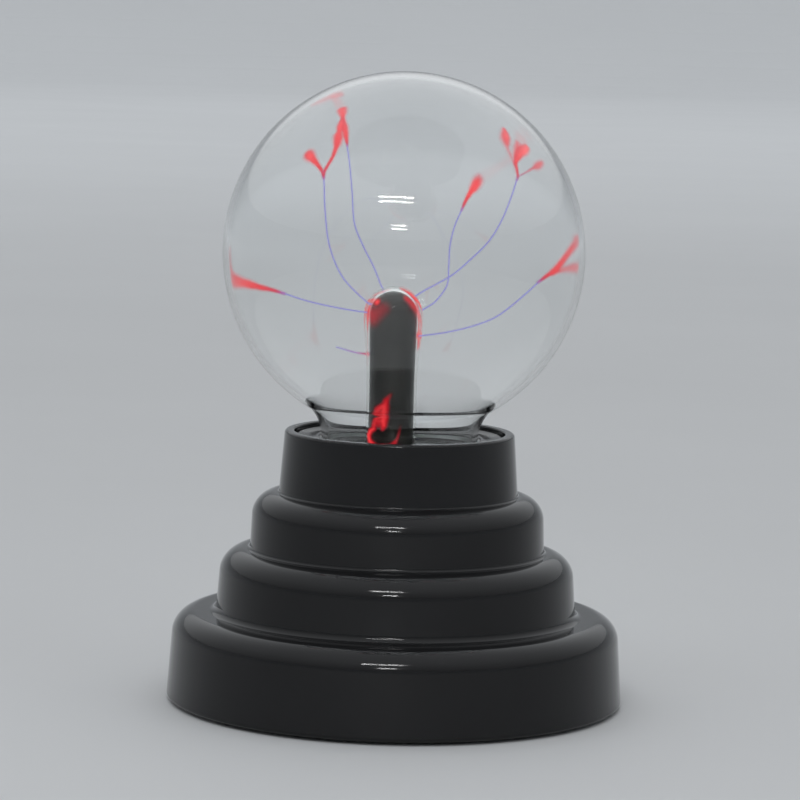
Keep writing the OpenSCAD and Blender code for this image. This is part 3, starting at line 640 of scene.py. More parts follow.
# Each thread: its violet stem in x, y, z, then its red brushes in x, y, z, radius, heat and
# strength, which is 1 where it is left out.
THREADS_MM = {
    "1": {
        "stem": [
            (-6.8, -3.2, 87.8), (-8, -4, 88.4), (-13.1, -8, 93.9), (-15.9, -13.2, 100.8),
            (-16.8, -19, 108.2), (-17, -24.7, 114.9), (-17.1, -26.6, 117.2),
        ],
        "brushes": [
            [(-17.05, -26.0, 115.8, 0.13, 0.3, 0.6), (-17.1, -26.6, 116.7, 0.18, 0.6),
             (-18.1, -26.0, 118.2, 0.30, 0.8), (-19.1, -25.1, 119.3, 0.52, 0.85),
             (-19.9, -24.3, 120.1, 0.88, 0.88), (-20.2, -24.0, 120.4, 0.92, 0.8)],
            [(-17.05, -26.0, 115.8, 0.12, 0.3, 0.6), (-17.1, -26.6, 116.7, 0.17, 0.6),
             (-16.2, -26.3, 118.5, 0.16, 0.7), (-15.3, -25.8, 120.1, 0.19, 0.75),
             (-14.7, -25.0, 121.8, 0.30, 0.8), (-14.35, -24.3, 123.2, 0.62, 0.85),
             (-14.2, -23.9, 124.2, 0.74, 0.85), (-14.0, -23.3, 125.3, 0.42, 0.8),
             (-13.85, -22.5, 126.4, 0.62, 0.8), (-13.7, -21.6, 127.2, 0.50, 0.75, 0.8),
             (-13.5, -20.8, 127.8, 0.30, 0.7, 0.5)],
        ],
    },
    "2": {
        "stem": [
            (-4, 3, 90.5), (-4.8, 5, 91.1), (-6.6, 6, 95.2), (-9, 7.3, 99.6),
            (-11.1, 9, 104.5), (-11.8, 11.2, 111.1), (-12.6, 13.6, 117.7),
            (-13.3, 15.0, 121.6),
        ],
        "brushes": [
            [(-13.2, 14.8, 121.4, 0.12, 0.3, 0.7), (-13.4, 15.0, 122.6, 0.26, 0.75),
             (-13.7, 15.3, 124.2, 0.48, 0.85), (-14.0, 15.6, 125.6, 0.60, 0.85),
             (-14.3, 15.9, 126.8, 0.42, 0.8), (-14.45, 16.1, 127.8, 0.34, 0.8),
             (-14.6, 16.3, 128.9, 0.72, 0.85), (-14.7, 16.5, 129.6, 0.86, 0.8)],
        ],
    },
    "3": {
        "stem": [
            (-7.6, -2.7, 85.9), (-13, -2.9, 86.6), (-20.3, -2.8, 88), (-26.4, -2.7, 89.8),
        ],
        "brushes": [
            [(-25.8, -2.7, 89.6, 0.17, 0.3), (-28.4, -2.6, 90.3, 0.26, 0.6),
             (-31.0, -2.55, 90.8, 0.42, 0.8), (-34.0, -2.5, 91.5, 0.70, 0.85),
             (-37.0, -2.4, 92.0, 1.15, 0.8), (-38.0, -2.4, 92.2, 1.2, 0.7)],
        ],
    },
    "4": {
        "stem": [
            (4.2, 0.8, 86.4), (5.8, 3.9, 87.1), (7.5, 7.1, 88.2), (9.7, 9.7, 91.4), (10, 12.6, 95.2),
            (10.2, 16.1, 99.5), (11.2, 19.8, 103.8), (12.9, 23.5, 107.6),
        ],
        "brushes": [
            [(12.7, 23.1, 107.2, 0.13, 0.3, 0.7), (13.6, 25.0, 109.2, 0.22, 0.75),
             (14.6, 26.8, 110.9, 0.38, 0.9), (15.6, 28.4, 112.3, 0.74, 0.9),
             (16.2, 29.4, 113.3, 0.92, 0.85, 0.9), (16.7, 30.3, 114.3, 1.0, 0.65, 0.3),
             (16.9, 30.7, 114.9, 0.9, 0.6, 0.12)],
        ],
    },
    "5": {
        "stem": [
            (2.6, -0.6, 89.5), (4.7, -3.3, 91.1), (7.3, -6, 92.8), (10.6, -7.9, 95), (14.3, -10.8, 98.6),
            (17.9, -14.1, 102.7), (20.4, -17.4, 107.4), (22.1, -21, 112.5),
            (23.1, -23.8, 116.6),
        ],
        "brushes": [
            [(23.0, -23.5, 116.2, 0.13, 0.3, 0.5), (23.2, -24.1, 117.0, 0.16, 0.5, 0.7),
             (22.9, -23.0, 118.8, 0.20, 0.7, 0.9), (22.7, -22.2, 119.8, 0.30, 0.8),
             (23.4, -20.2, 121.0, 0.50, 0.9), (24.5, -17.6, 122.1, 0.80, 0.95),
             (25.0, -16.3, 122.6, 0.66, 0.85)],
            [(22.7, -22.2, 119.9, 0.26, 0.75, 0.8), (22.9, -20.5, 121.5, 0.56, 0.75, 0.6),
             (23.1, -18.8, 122.9, 0.72, 0.7, 0.45), (23.2, -17.7, 123.8, 0.55, 0.65, 0.3)],
            [(23.1, -20.9, 120.8, 0.40, 0.75, 0.6), (23.9, -18.8, 122.3, 0.80, 0.75, 0.5),
             (24.2, -17.6, 123.1, 0.60, 0.7, 0.35)],
            [(23.1, -23.8, 116.8, 0.12, 0.5, 0.1), (22.3, -22.8, 119.6, 0.24, 0.55, 0.12),
             (21.0, -21.2, 122.6, 0.42, 0.65, 0.2), (20.8, -19.9, 123.9, 0.66, 0.75, 0.6),
             (20.6, -18.7, 124.9, 0.84, 0.8), (20.4, -17.6, 125.8, 0.66, 0.75, 0.85),
             (20.2, -17.0, 126.3, 0.40, 0.7, 0.6)],
            [(23.1, -24.0, 116.9, 0.11, 0.35, 0.35), (24.8, -20.8, 117.6, 0.13, 0.45, 0.3),
             (26.3, -17.5, 118.3, 0.22, 0.6, 0.4), (27.6, -15.0, 118.9, 0.68, 0.75, 0.7),
             (28.0, -14.2, 119.2, 0.56, 0.7, 0.55)],
        ],
    },
    "6": {
        "stem": [
            (3.6, -2.4, 81.0), (9.3, -4.4, 82.1), (14.7, -6.6, 83.7), (19.6, -8.8, 85.9),
            (23.3, -11, 88.9), (26.9, -13.4, 92.5), (29.0, -14.4, 94.7),
        ],
        "brushes": [
            [(28.6, -14.2, 94.3, 0.15, 0.3), (30.4, -15.3, 95.9, 0.26, 0.7),
             (31.8, -16.0, 97.0, 0.46, 0.85), (34.2, -12.6, 99.8, 0.42, 0.8, 0.9),
             (36.2, -9.4, 102.2, 0.55, 0.75, 0.7), (37.0, -7.9, 103.4, 0.78, 0.7, 0.5)],
            [(31.4, -15.8, 96.7, 0.36, 0.8, 0.5), (33.6, -13.0, 97.0, 0.60, 0.7, 0.25),
             (35.6, -10.4, 97.2, 0.85, 0.7, 0.3), (37.0, -8.3, 97.2, 0.95, 0.75, 0.6)],
        ],
    },
}
# Nested shells of gas: scale, extra radius, added heat, share of solidness
STEM_SHELLS = [(1.0, 0.0, 0.0, 0.65), (1.0, 0.09, 0.0, 0.16), (1.0, 0.24, 0.0, 0.06)]
BRUSH_SHELLS = [
    (0.35, 0.0, 0.16, 0.35), (0.6, 0.0, 0.10, 0.4), (0.85, 0.03, 0.04, 0.4),
    (1.08, 0.07, -0.02, 0.3), (1.3, 0.14, -0.05, 0.18), (1.6, 0.28, -0.06, 0.09),
]
# Faint ends of the gas: rows as for a brush, and how strong it is next to one
WISPS_MM = [
    ([(-36.6, -2.4, 92.4, 0.5, 0.7), (-37.8, -2.4, 94.6, 0.34, 0.65),
      (-38.1, -2.2, 97.0, 0.22, 0.6), (-38.1, -2.0, 99.2, 0.10, 0.55)], 0.45),
    ([(-14.6, 4.0, 133.2, 0.5, 0.7), (-16.7, 2.0, 132.8, 0.8, 0.65),
      (-19.0, 0.5, 131.7, 0.7, 0.6), (-20.8, 0.0, 130.7, 0.35, 0.55)], 0.22),
    ([(-7.9, -0.5, 76.6, 0.13, 0.45), (-10.5, -0.8, 77.0, 0.10, 0.15),
      (-14.2, -1.0, 78.0, 0.07, 0.0)], 0.5),
]


def rows_in_metres(rows, radius, heat):
    """x, y, z, radius, heat, strength rows in metres. A stem's rows give only the place, and
    a row without a strength has 1."""
    full = [row if len(row) > 3 else (*row, radius, heat) for row in rows]
    full = [row if len(row) > 5 else (*row, 1.0) for row in full]
    return [(x * MM, y * MM, z * MM, r * MM, h, p) for x, y, z, r, h, p in full]


def add_brush(glow, rows, strength=1.0):
    path = smooth_path(rows_in_metres(rows, STEM_R, RED), BRUSH_STEP)
    for scale, extra, warmth, share in BRUSH_SHELLS:
        glow.tube(path, scale, extra * MM, warmth, share * strength, BRUSH_SIDES)


for key, thread in THREADS_MM.items():
    stem = GlowMesh()
    path = smooth_path(rows_in_metres(thread["stem"], STEM_R, VIOLET), STEM_STEP)
    for scale, extra, warmth, share in STEM_SHELLS:
        stem.tube(path, scale, extra * MM, warmth, share, STEM_SIDES)
    stem.make("plasma_thread_" + key, gas_look)
    brush = GlowMesh()
    for rows in thread["brushes"]:
        add_brush(brush, rows)
    brush.make("plasma_brush_" + key, gas_look)
wisps = GlowMesh()
for rows, strength in WISPS_MM:
    add_brush(wisps, rows, strength)
wisps.make("plasma_wisps", gas_look)

# Where the electrode glows: strokes of (degrees round from the front, z, reach, strength)
ELECTRODE_GLOW_MM = [
    # left of the dome, round the foot of thread 1, and the line down the left edge
    [(-39.7, 88.3, 0.75, 0.95)],
    [(-78, 88.2, 0.5, 0.5), (-52, 88.6, 0.6, 0.55), (-39.7, 88.3, 0.6, 0.7)],
    [(-66, 89.6, 0.5, 0.35), (-44, 90.3, 0.6, 0.3), (-20, 90.9, 0.6, 0.15)],
    [(-66, 86.2, 1.9, 0.40), (-45, 85.2, 2.1, 0.36), (-22, 87.0, 1.8, 0.24)],
    [(-84, 88.4, 0.4, 0.6), (-88, 86.4, 0.55, 1.0), (-90, 83.4, 0.5, 1.0), (-90, 82.0, 0.35, 0.7)],
    [(-98, 89.9, 0.3, 0.4), (-93, 88.0, 0.35, 0.7)],
    [(-88, 82.0, 0.25, 0.45), (-90, 79.0, 0.22, 0.4), (-90, 74.0, 0.2, 0.3)],
    [(-90, 76.6, 0.6, 0.85)],
    # right of the dome and the line down the right edge
    [(40, 91.2, 0.35, 0.5), (58, 90.2, 0.55, 0.85), (66, 89.0, 0.6, 0.9), (76, 87.4, 0.5, 0.8)],
    [(118, 91.3, 0.3, 0.6), (102, 90.6, 0.4, 0.95), (97, 89.6, 0.45, 1.0), (92, 87.2, 0.4, 0.9)],
    [(34, 89.2, 0.8, 0.5), (46, 87.8, 1.0, 0.5), (60, 85.8, 1.0, 0.45), (74, 83.4, 0.7, 0.35)],
    [(78, 87.2, 0.3, 0.65), (88, 85.0, 0.28, 0.7), (90, 82.4, 0.4, 0.95), (90, 78.2, 0.35, 0.85)],
    [(84, 81.0, 0.75, 1.0)],
    [(72, 84.0, 0.25, 0.3), (68, 81.4, 0.45, 0.6), (70, 78.6, 0.4, 0.45)],
    # flame at the foot
    [(-2, 68.4, 0.5, 0.2), (-12, 67.0, 0.7, 0.5), (-15, 65.6, 0.9, 0.75), (-17, 64.0, 0.9, 0.8),
     (-16, 62.4, 0.7, 0.75), (-18, 61.4, 0.5, 0.45)],
    [(-18, 65.8, 0.7, 0.7), (-33, 64.8, 0.8, 0.65), (-38, 63.0, 0.9, 0.55), (-42, 61.6, 0.7, 0.6)],
    [(-27, 64.0, 1.0, 0.6), (-28, 62.4, 0.8, 0.4)],
    [(-40, 61.4, 0.6, 0.7), (-51, 60.7, 0.65, 0.85), (-58, 59.4, 0.7, 0.9),
     (-54, 58.2, 0.65, 0.9), (-42, 57.4, 0.6, 0.85), (-32, 57.2, 0.4, 0.5)],
    [(-24, 57.2, 0.4, 0.25), (0, 57.3, 0.5, 0.5), (8, 57.7, 0.6, 0.5), (16, 59.2, 0.35, 0.3),
     (20, 61.0, 0.35, 0.2), (22, 62.6, 0.35, 0.1)],
]
GLOW_GAP = 0.05 * MM
GLOW_T = 0.12 * MM
GLOW_LOW = 57.0 * MM
GLOW_STEP = 0.35 * MM
GLOW_ANGLES = np.arange(-126, 127, 3)
# heat with no glow and how much the strongest glow adds
GLOW_HEAT, GLOW_WARMTH = 0.66, 0.32
# greatest solidness, the weakest glow that shows, and how steeply it falls off
GLOW_SOLID, GLOW_FLOOR, GLOW_FALL = 0.97, 0.05, 1.15


def electrode_point(degrees, z, gap=0.0):
    """Point on the electrode's surface, with degrees counted from the front towards +X."""
    r = electrode_radius(z)
    if z > FLARE_HIGH:
        r = math.sqrt(max(0.0, BULB_R**2 - (z - FLARE_HIGH) ** 2))
    centre = np.array((ELECTRODE_X, 0.0, min(z, FLARE_HIGH)))
    a = math.radians(degrees)
    side = np.array((ELECTRODE_X + r * math.sin(a), -r * math.cos(a), z)) - centre
    return centre + side * (1 + gap / np.linalg.norm(side))


def glow_at(point):
    """Strength of the glow at a point on the electrode: the strongest stroke there."""
    best = 0.0
    for stroke in GLOW_STROKES:
        for (a, reach_a, power_a), (b, reach_b, power_b) in zip(stroke, stroke[1:] or stroke):
            along = b - a
            t = float(np.clip((point - a) @ along / max(along @ along, 1e-12), 0.0, 1.0))
            reach = reach_a + (reach_b - reach_a) * t
            power = power_a + (power_b - power_a) * t
            far = np.linalg.norm(point - a - along * t) / reach
            best = max(best, power * math.exp(-far * far))
    return best


GLOW_STROKES = [
    [(electrode_point(angle, z * MM), reach * MM, power) for angle, z, reach, power in stroke]
    for stroke in ELECTRODE_GLOW_MM
]
side_heights = np.arange(GLOW_LOW, FLARE_HIGH, GLOW_STEP)
dome_heights = [FLARE_HIGH + BULB_R * math.sin(math.radians(a)) for a in range(2, 88, 3)]
heights = [*side_heights, *dome_heights]
patch = GlowMesh()
for z in heights:
    for angle in GLOW_ANGLES:
        point = electrode_point(angle, z, GLOW_GAP)
        power = glow_at(point)
        patch.vertices.append(tuple(point))
        patch.heat.append(GLOW_HEAT + GLOW_WARMTH * power)
        patch.share.append(GLOW_SOLID * max(0.0, power - GLOW_FLOOR) ** GLOW_FALL)
for corners in grid_faces(len(GLOW_ANGLES), len(heights)):
    if max(patch.share[k] for k in corners) > 0:
        patch.faces.append(corners)
electrode_glow = patch.make("electrode_glow", gas_look)
cleaner = bmesh.new()
cleaner.from_mesh(electrode_glow.data)
loose = [v for v in cleaner.verts if not v.link_faces]
bmesh.ops.delete(cleaner, geom=loose, context="VERTS")
cleaner.to_mesh(electrode_glow.data)
cleaner.free()
skin = electrode_glow.modifiers.new("skin", "SOLIDIFY")
skin.thickness = GLOW_T
skin.offset = 1.0

# --- base and small parts ---

SHELL_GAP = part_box("base_shell")[0].z / MM
BASE_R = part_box("base_shell")[1].x / MM
RIM_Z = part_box("base_shell")[1].z / MM
SHELL_T = 2.0
RIM_INNER_R = 23.05
RING_SEAT = (56.9, 21.5)
LEDGE = (53.8, 12.5, 1.8)
# Foot radius, top radius, top height, shoulder radius and hollow radius of each tier
TIERS_MM = [
    (BASE_R, BASE_R - 1.25, 19.7, 5.0, 0.01),
    (BASE_R - 10.5, BASE_R - 11.5, 33.6, 5.4, 1.6),
    (BASE_R - 17.7, BASE_R - 18.2, 46.1, 5.2, 0.8),
    (BASE_R - 23.8, BASE_R - 24.85, RIM_Z, 0.7, 0.5),
]


def tier_outline(i, inset):
    """Outline of one tier from its foot up, in millimetres, moved inward by inset."""
    foot_r, top_r, top_z, shoulder, hollow = TIERS_MM[i]
    below = SHELL_GAP if i == 0 else TIERS_MM[i - 1][2]
    lean = math.atan((foot_r - top_r) / (top_z - below))
    foot_z = below - (inset if i else 0)
    foot_r -= inset
    shoulder -= inset
    hollow += inset
    shoulder_z = top_z - inset - shoulder
    shoulder_r = foot_r - (shoulder + (shoulder_z - foot_z) * math.sin(lean)) / math.cos(lean)
    hollow_r = foot_r + hollow * (1 - math.sin(lean)) / math.cos(lean)
    lean = math.degrees(lean)
    foot = arc(hollow_r, foot_z + hollow, hollow, 270, 180 + lean, 10) if i else []
    return [*foot, *arc(shoulder_r, shoulder_z, shoulder, lean, 90, 22)]


collar_r = TIERS_MM[3][0] - SHELL_T - 0.1
ceiling = TIERS_MM[2][2] - SHELL_T
shell_profile = [*arc(BASE_R - 0.8, SHELL_GAP + 0.8, 0.8, -90, 0, 8)]
for i in range(len(TIERS_MM)):
    shell_profile += tier_outline(i, 0)
shell_profile += arc(RIM_INNER_R + 0.4, RIM_Z - 0.4, 0.4, 90, 180, 8)
shell_profile += [
    (RIM_INNER_R, RING_SEAT[0]), (RING_SEAT[1], RING_SEAT[0]),
    (RIM_INNER_R, RING_SEAT[0] - 1.5), (RIM_INNER_R, LEDGE[0]), (LEDGE[1], LEDGE[0]),
    (LEDGE[1], LEDGE[0] - LEDGE[2]), (collar_r, LEDGE[0] - LEDGE[2]), (collar_r, ceiling),
]
for i in (2, 1, 0):
    shell_profile += reversed(tier_outline(i, SHELL_T))
shell_profile += [(BASE_R - SHELL_T, SHELL_GAP)]

base_look = surface(
    "base_black_look", (0.0055, 0.0055, 0.006), (0.05, 0.11), mottle=0.12,
    patch=90.0, grain=2600.0, relief=0.03, depth=0.01 * MM, wave=(55, 0.03, 0.05 * MM),
    **{"Specular IOR Level": 0.3},
)


def lathe_mm(name, profile, material, **more):
    """A lathe from a profile in millimetres."""
    return lathe(name, [(r * MM, z * MM) for r, z in profile], material, **more)


shell = lathe_mm("base_skin", shell_profile, base_look, steps=256)

# the recess for the sockets at the back, with the panel behind it
PANEL_Y, PANEL_T, PANEL_Z = 44.0, 2.0, 10.2
POCKET = (36.8, 10.8)
JACK_X = (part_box("dc_jack_housing")[0].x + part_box("dc_jack_housing")[1].x) / 2 / MM
SWITCH_X = (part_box("switch_frame")[0].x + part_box("switch_frame")[1].x) / 2 / MM
JACK_HOLE_R = 3.95
SCREW_HOLE_R = 1.1
SCREW_X = 7.3
BOSS_PLACE, BOSS_R, BOSS_HOLE_R = (37, 14), 3.2, 1.27
BOSS_Z = (3.25, 18.7)
BOSS_HOLE_DEPTH = 10
PANEL_MARGIN = 1.8
PANEL_FOOT = SHELL_GAP + 2.7
PANEL_BITE = 0.3
SKIN_INSET = 0.05
SWITCH_HALF_W, SWITCH_HALF_H = 3.5, 1.8
PAST_PANEL, PAST_SHELL = 46, 60
CREASE_ANGLE = 32


def block(low, high):
    """Corners and faces of a box, in millimetres."""
    corners = [
        tuple(MM * (high[k] if i >> k & 1 else low[k]) for k in range(3)) for i in range(8)
    ]
    sides = [[0, 2, 3, 1], [4, 5, 7, 6], [0, 1, 5, 4], [2, 6, 7, 3], [0, 4, 6, 2], [1, 3, 7, 5]]
    return corners, sides


def rod(r, start, length, axis, sides=48):
    """Corners and faces of a cylinder along Y or Z, in millimetres."""
    corners = []
    for end in (0, length):
        for k in range(sides):
            a = 2 * math.pi * k / sides
            flat = (r * math.cos(a), r * math.sin(a))
            place = (flat[0], end, -flat[1]) if axis == "Y" else (*flat, end)
            corners.append(tuple(MM * (s + d) for s, d in zip(start, place)))
    faces = [list(reversed(range(sides))), list(range(sides, 2 * sides))]
    for k in range(sides):
        n = (k + 1) % sides
        faces.append([k, n, n + sides, k + sides])
    return corners, faces


def carve(obj, operation, *solids):
    """Joins the solids to obj, or cuts them from it, and applies the result."""
    for vertices, faces in solids:
        tool = new_object("carving_tool", vertices, faces, obj.data.materials[0], smooth=False)
        modifier = obj.modifiers.new("carve", "BOOLEAN")
        modifier.operation = operation
        modifier.solver = "EXACT"
        modifier.object = tool
        graph = bpy.context.evaluated_depsgraph_get()
        result = bpy.data.meshes.new_from_object(obj.evaluated_get(graph), depsgraph=graph)
        obj.modifiers.remove(modifier)
        obj.data = result
        bpy.data.objects.remove(tool)


def taken_apart(obj):
    """The corners and faces of obj, which is removed."""
    corners = [tuple(v.co) for v in obj.data.vertices]
    faces = [list(p.vertices) for p in obj.data.polygons]
    bpy.data.objects.remove(obj)
    return corners, faces


half_w, half_h = POCKET[0] / 2, POCKET[1] / 2
panel_in = PANEL_Y - PANEL_T
corner_places = [(sx * BOSS_PLACE[0], sy * BOSS_PLACE[1]) for sx in (-1, 1) for sy in (-1, 1)]
block_half = half_w + PANEL_MARGIN
block_top = TIERS_MM[0][2] - SHELL_T + PANEL_BITE
# the block behind the panel is trimmed to the inside of the lowest tier's outline
panel_block = new_object(
    "panel_block",
    *block((-block_half, panel_in, PANEL_FOOT), (block_half, BASE_R, block_top)),
    base_look,
    smooth=False,
)
inside_tier = [
    (0.0, SHELL_GAP + 0.5), (BASE_R - 1, SHELL_GAP + 0.5), *tier_outline(0, SKIN_INSET),
    (0.0, TIERS_MM[0][2] - SKIN_INSET),
]
filling = lathe_mm("filling", inside_tier, base_look, steps=256, closed=False)
carve(panel_block, "INTERSECT", taken_apart(filling))
carve(
    shell, "UNION", taken_apart(panel_block),
    *[rod(BOSS_R, (x, y, BOSS_Z[0]), BOSS_Z[1] - BOSS_Z[0], "Z", 32) for x, y in corner_places],
)
carve(
    shell, "DIFFERENCE",
    block((-half_w, PANEL_Y, PANEL_Z - half_h), (half_w, PAST_SHELL, PANEL_Z + half_h)),
    rod(JACK_HOLE_R, (JACK_X, panel_in - 1, PANEL_Z), PANEL_T + 2, "Y"),
    block(
        (SWITCH_X - SWITCH_HALF_W, panel_in - 1, PANEL_Z - SWITCH_HALF_H),
        (SWITCH_X + SWITCH_HALF_W, PAST_PANEL, PANEL_Z + SWITCH_HALF_H),
    ),
    *[rod(SCREW_HOLE_R, (SWITCH_X + s * SCREW_X, panel_in - 1, PANEL_Z), PANEL_T + 2, "Y", 24)
      for s in (-1, 1)],
    *[rod(BOSS_HOLE_R, (x, y, BOSS_Z[0] - 1), BOSS_HOLE_DEPTH + 1, "Z", 24)
      for x, y in corner_places],
)
shell.data.shade_smooth()
shell.data.set_sharp_from_angle(angle=math.radians(CREASE_ANGLE))
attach(shell, BODY)
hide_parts("base_shell")

# the ring round the neck
ring_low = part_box("top_ring")[0].z / MM
RING_PLAY_IN, RING_PLAY_OUT = 0.45, 0.3
PLATE_DEPTH = 1.4
BEAD = 0.55
ring_hole = neck_r / MM + RING_PLAY_IN
ring_out = RIM_INNER_R - RING_PLAY_OUT
plate_z = RIM_Z - PLATE_DEPTH
ring_profile = [
    (ring_hole, ring_low), (ring_out, ring_low),
    *arc(ring_out - BEAD, plate_z - BEAD + 0.45, BEAD, 0, 130, 12),
    (ring_out - 2.2, plate_z), (ring_hole + 1.5, plate_z - 0.15),
    *arc(ring_hole + 0.5, plate_z - 0.3, 0.5, 60, 180, 10),
]
ring_look = surface(
    "ring_black_look", (0.006, 0.006, 0.0065), (0.12, 0.2), grain=3000.0, relief=0.08,
)
ring = lathe_mm("trim_ring", reversed(ring_profile), ring_look)
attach(ring, BODY)
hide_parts("top_ring")


# --- looks of the CAD nodes carried over ---


def bands(axis, start, end, stops):
    """Colour that steps along an axis of the row frame, with start and end in millimetres
    and stops as (fraction, colour)."""
    def colour(s):
        place = s.span(s.axis(axis), 0.0, 1.0, start * MM, end * MM)
        return s.ramp(place, stops, "CONSTANT")
    return colour


def metal(name, colour, rough, stretch=(1, 1, 1)):
    return surface(
        name, colour, rough, mottle=0.12, grain=2200.0, relief=0.12, depth=0.01 * MM,
        stretch=stretch, Metallic=1.0,
    )


def wound(name, colour, pitch, rough, **more):
    """Wire or tape wound round a vertical axis, with one ridge for each turn and painted shade darkening
    the grooves between turns.
    """
    s = Shader(name)
    where = s.coordinates((1, 1, 0.2))
    tint = s.ramp(s.noise(where, 700, 4), [(0.3, tone(colour, 0.8)), (0.7, tone(colour, 1.15))])
    turn = s.math("SINE", s.math("MULTIPLY", s.axis(2), 2 * math.pi / (pitch * MM)))
    # painted shade: the colour darkens towards a quarter tone in the grooves between turns
    groove_shade = s.span(turn, 0.45, 1.0, -0.9, 0.2)
    base = s.mix(groove_shade, tone(colour, 0.25), tint)
    shine = s.span(s.noise(where, 900, 3), *rough)
    values = {"Base Color": base, "Roughness": shine, "Normal": s.bump(turn, 0.8, 0.08 * MM)}
    values.update(more)
    return s.finish(s.add("BsdfPrincipled", values).outputs[0])


STEEL = (0.56, 0.55, 0.53)
TIN = (0.62, 0.61, 0.58)
JACKET = (0.035, 0.06, 0.11)
WHITE_BAND = (0.75, 0.76, 0.74)
JACKET_END = (0.30, 0.32, 0.35)


def cell_look(name, node, nub_right):
    """A dry cell: steel ends, a dark plain jacket and a pale band near the nub."""
    low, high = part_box(node)
    start, end = (low.x, high.x) if nub_right else (high.x, low.x)
    colour = bands(0, start / MM, end / MM, [
        (0.0, STEEL), (0.012, JACKET), (0.72, WHITE_BAND), (0.745, JACKET_END), (0.965, STEEL),
    ])
    metallic = bands(0, start / MM, end / MM, [
        (0.0, (1, 1, 1)), (0.012, (0.35, 0.35, 0.35)), (0.965, (1, 1, 1)),
    ])
    return surface(
        name, JACKET, (0.2, 0.32), mottle=0.25, grain=1800.0, colour_node=colour,
        metal_node=metallic,
    )


board_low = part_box("circuit_board")[0]
transistor_low, transistor_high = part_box("transistor")
capacitor_low, capacitor_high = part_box("electrolytic_capacitor")
diode_low, diode_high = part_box("diode")
TAB_T = 1.3
LEG_LONG = 2.4
tab_x = transistor_high.x / MM - TAB_T
leg_top = transistor_low.z / MM + LEG_LONG
cap_x = (capacitor_low.x / MM, capacitor_high.x / MM)
diode_x = (diode_low.x / MM, diode_high.x / MM)

TAN = (0.50, 0.36, 0.20)
BAND_COLOURS = [(0.10, 0.03, 0.012), (0.006, 0.006, 0.006), (0.75, 0.20, 0.02), (0.55, 0.36, 0.08)]
RESISTOR_X = 5.0
RESISTOR_PITCH = 11.5
RESISTOR_HALF = 3.15


def resistor_colour(s):
    """Four thin bands on each tan body, with bare wire at both ends."""
    start = RESISTOR_X - RESISTOR_PITCH / 2
    local = s.math("MODULO", s.math("SUBTRACT", s.axis(0), start * MM), RESISTOR_PITCH * MM)
    place = s.span(local, 0.0, 1.0, 0.0, RESISTOR_PITCH * MM)
    middle = RESISTOR_PITCH / 2
    stops = [(0.0, TIN), ((middle - RESISTOR_HALF) / RESISTOR_PITCH, TAN)]
    for offset, colour in zip((-2.1, -1.1, -0.1, 1.7), BAND_COLOURS):
        stops.append(((middle + offset) / RESISTOR_PITCH, colour))
        stops.append(((middle + offset + 0.5) / RESISTOR_PITCH, TAN))
    stops.append(((middle + RESISTOR_HALF) / RESISTOR_PITCH, TIN))
    return s.ramp(place, stops, "CONSTANT")


def board_colour(s):
    """Tan laminate on top, with resist and tracks underneath."""
    where = s.coordinates()
    weave = s.noise(where, 900, 4)
    top = s.ramp(weave, [(0.3, (0.30, 0.185, 0.075)), (0.7, (0.40, 0.25, 0.11))])
    lanes = s.noise(s.coordinates((1, 0.25, 1)), 260, 1, 0.3)
    tracks = s.ramp(lanes, [(0.0, (0.012, 0.07, 0.03)), (0.52, (0.03, 0.14, 0.06))], "CONSTANT")
    under = s.span(s.axis(2), 1.0, 0.0, board_low.z + 0.05 * MM, board_low.z + 0.1 * MM)
    return s.mix(under, top, tracks)


PACKAGE = (0.012, 0.012, 0.012)
SLEEVE = (0.012, 0.016, 0.06)

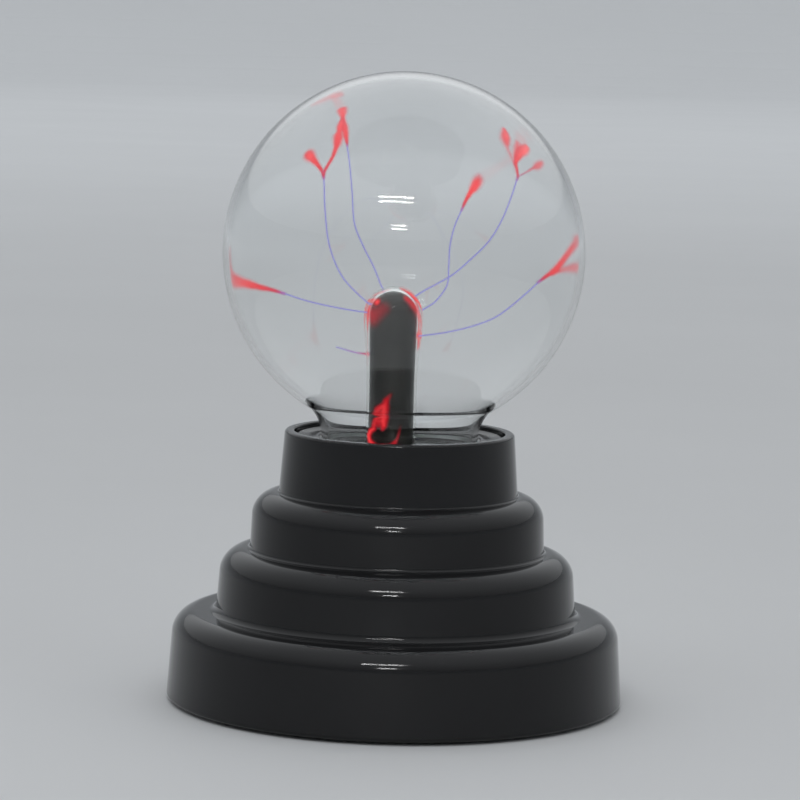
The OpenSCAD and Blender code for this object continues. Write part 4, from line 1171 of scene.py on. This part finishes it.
SLOT_LOOKS = {
    "globe_glass": globe_glass,
    "steel_wool": surface(
        "steel_wool_look", (0.30, 0.30, 0.31), (0.3, 0.55), mottle=0.6, patch=900.0,
        grain=2400.0, relief=0.9, depth=0.2 * MM, stretch=(1, 1, 0.15), Metallic=1.0,
    ),
    "silicone_grey": surface(
        "silicone_look", (0.22, 0.23, 0.23), (0.4, 0.6), mottle=0.2, grain=500.0, relief=0.4,
        depth=0.08 * MM,
    ),
    "gasket_black": surface("gasket_look", (0.015, 0.015, 0.015), (0.6, 0.8), grain=900.0),
    "cover_black": surface(
        "cover_look", (0.016, 0.016, 0.0165), (0.42, 0.58), mottle=0.2, grain=4200.0,
        relief=0.55, depth=0.03 * MM,
    ),
    "foot_rubber": surface(
        "foot_look", (0.014, 0.014, 0.014), (0.7, 0.9), mottle=0.35, grain=2500.0, relief=0.4,
    ),
    "screw_steel": metal("screw_look", STEEL, (0.2, 0.38)),
    "contact_steel": metal("contact_look", (0.60, 0.59, 0.55), (0.2, 0.36), (1, 6, 1)),
    "board_laminate": surface(
        "board_look", (0.3, 0.2, 0.1), (0.3, 0.5), colour_node=board_colour, grain=2600.0,
    ),
    "ferrite": surface(
        "ferrite_look", (0.035, 0.035, 0.037), (0.5, 0.75), mottle=0.3, grain=1500.0, relief=0.5,
    ),
    "bobbin_nylon": surface(
        "bobbin_look", (0.52, 0.47, 0.33), (0.35, 0.5), **{"Subsurface Weight": 0.08},
    ),
    "enamelled_copper": wound(
        "copper_look", (0.62, 0.20, 0.07), 0.35, (0.15, 0.3), Metallic=1.0,
        **{"Coat Weight": 0.5},
    ),
    "winding_tape": wound("tape_look", (0.62, 0.38, 0.05), 1.8, (0.15, 0.3)),
    "sink_aluminium": metal("sink_look", (0.62, 0.62, 0.63), (0.28, 0.45), (1, 1, 5)),
    "film_red": surface("film_look", (0.36, 0.035, 0.02), (0.12, 0.25), mottle=0.2),
    "jack_black": surface("jack_look", (0.014, 0.014, 0.014), (0.3, 0.45), grain=2600.0),
    "nickel": metal("nickel_look", (0.63, 0.60, 0.55), (0.1, 0.2)),
    "tinned_brass": metal("tinned_look", (0.66, 0.56, 0.36), (0.22, 0.38)),
    "switch_phenolic": surface(
        "phenolic_look", (0.22, 0.11, 0.035), (0.4, 0.6), mottle=0.35, patch=500.0,
    ),
    "button_black": surface(
        "button_look", (0.013, 0.013, 0.0135), (0.3, 0.45), grain=3600.0, relief=0.3,
    ),
    "lead_white": surface("lead_white_look", (0.66, 0.66, 0.63), (0.35, 0.5)),
    "lead_red": surface("lead_red_look", (0.52, 0.02, 0.015), (0.35, 0.5)),
    "lead_black": surface("lead_black_look", (0.012, 0.012, 0.012), (0.35, 0.5)),
}
NODE_LOOKS = {
    "cell_1": cell_look("cell_look_1", "cell_1", True),
    "cell_2": cell_look("cell_look_2", "cell_2", False),
    "cell_3": cell_look("cell_look_3", "cell_3", True),
    "cell_4": cell_look("cell_look_4", "cell_4", False),
    "resistors": surface(
        "resistor_look", TAN, (0.25, 0.4), colour_node=resistor_colour, grain=2000.0,
    ),
    "diode": surface(
        "diode_look", PACKAGE, (0.3, 0.45), mottle=0.15, grain=2000.0,
        colour_node=bands(0, *diode_x, [
            (0.0, TIN), (0.24, PACKAGE), (0.29, TIN), (0.37, PACKAGE), (0.76, TIN),
        ]),
    ),
    "transistor": surface(
        "transistor_look", PACKAGE, (0.3, 0.45), grain=2600.0,
        colour_node=lambda s: s.mix(
            s.span(s.axis(2), 1.0, 0.0, leg_top * MM, (leg_top + 0.05) * MM),
            bands(0, tab_x - 1, tab_x + 1, [(0.0, PACKAGE), (0.5, TIN)])(s),
            TIN,
        ),
        metal_node=bands(0, tab_x - 1, tab_x + 1, [(0.0, (0, 0, 0)), (0.5, (1, 1, 1))]),
    ),
    "electrolytic_capacitor": surface(
        "capacitor_look", SLEEVE, (0.15, 0.28), mottle=0.15,
        colour_node=lambda s: s.mix(
            s.span(s.axis(2), 0.0, 1.0, capacitor_high.z - 0.35 * MM, capacitor_high.z - 0.3 * MM),
            bands(0, *cap_x, [(0.0, (0.35, 0.37, 0.42)), (0.10, SLEEVE)])(s),
            TIN,
        ),
    ),
}
for name, node in nodes.items():
    if not node.data.materials:
        continue
    look = NODE_LOOKS.get(name) or SLOT_LOOKS.get(node.data.materials[0].name)
    if look is not None:
        node.data.materials[0] = look
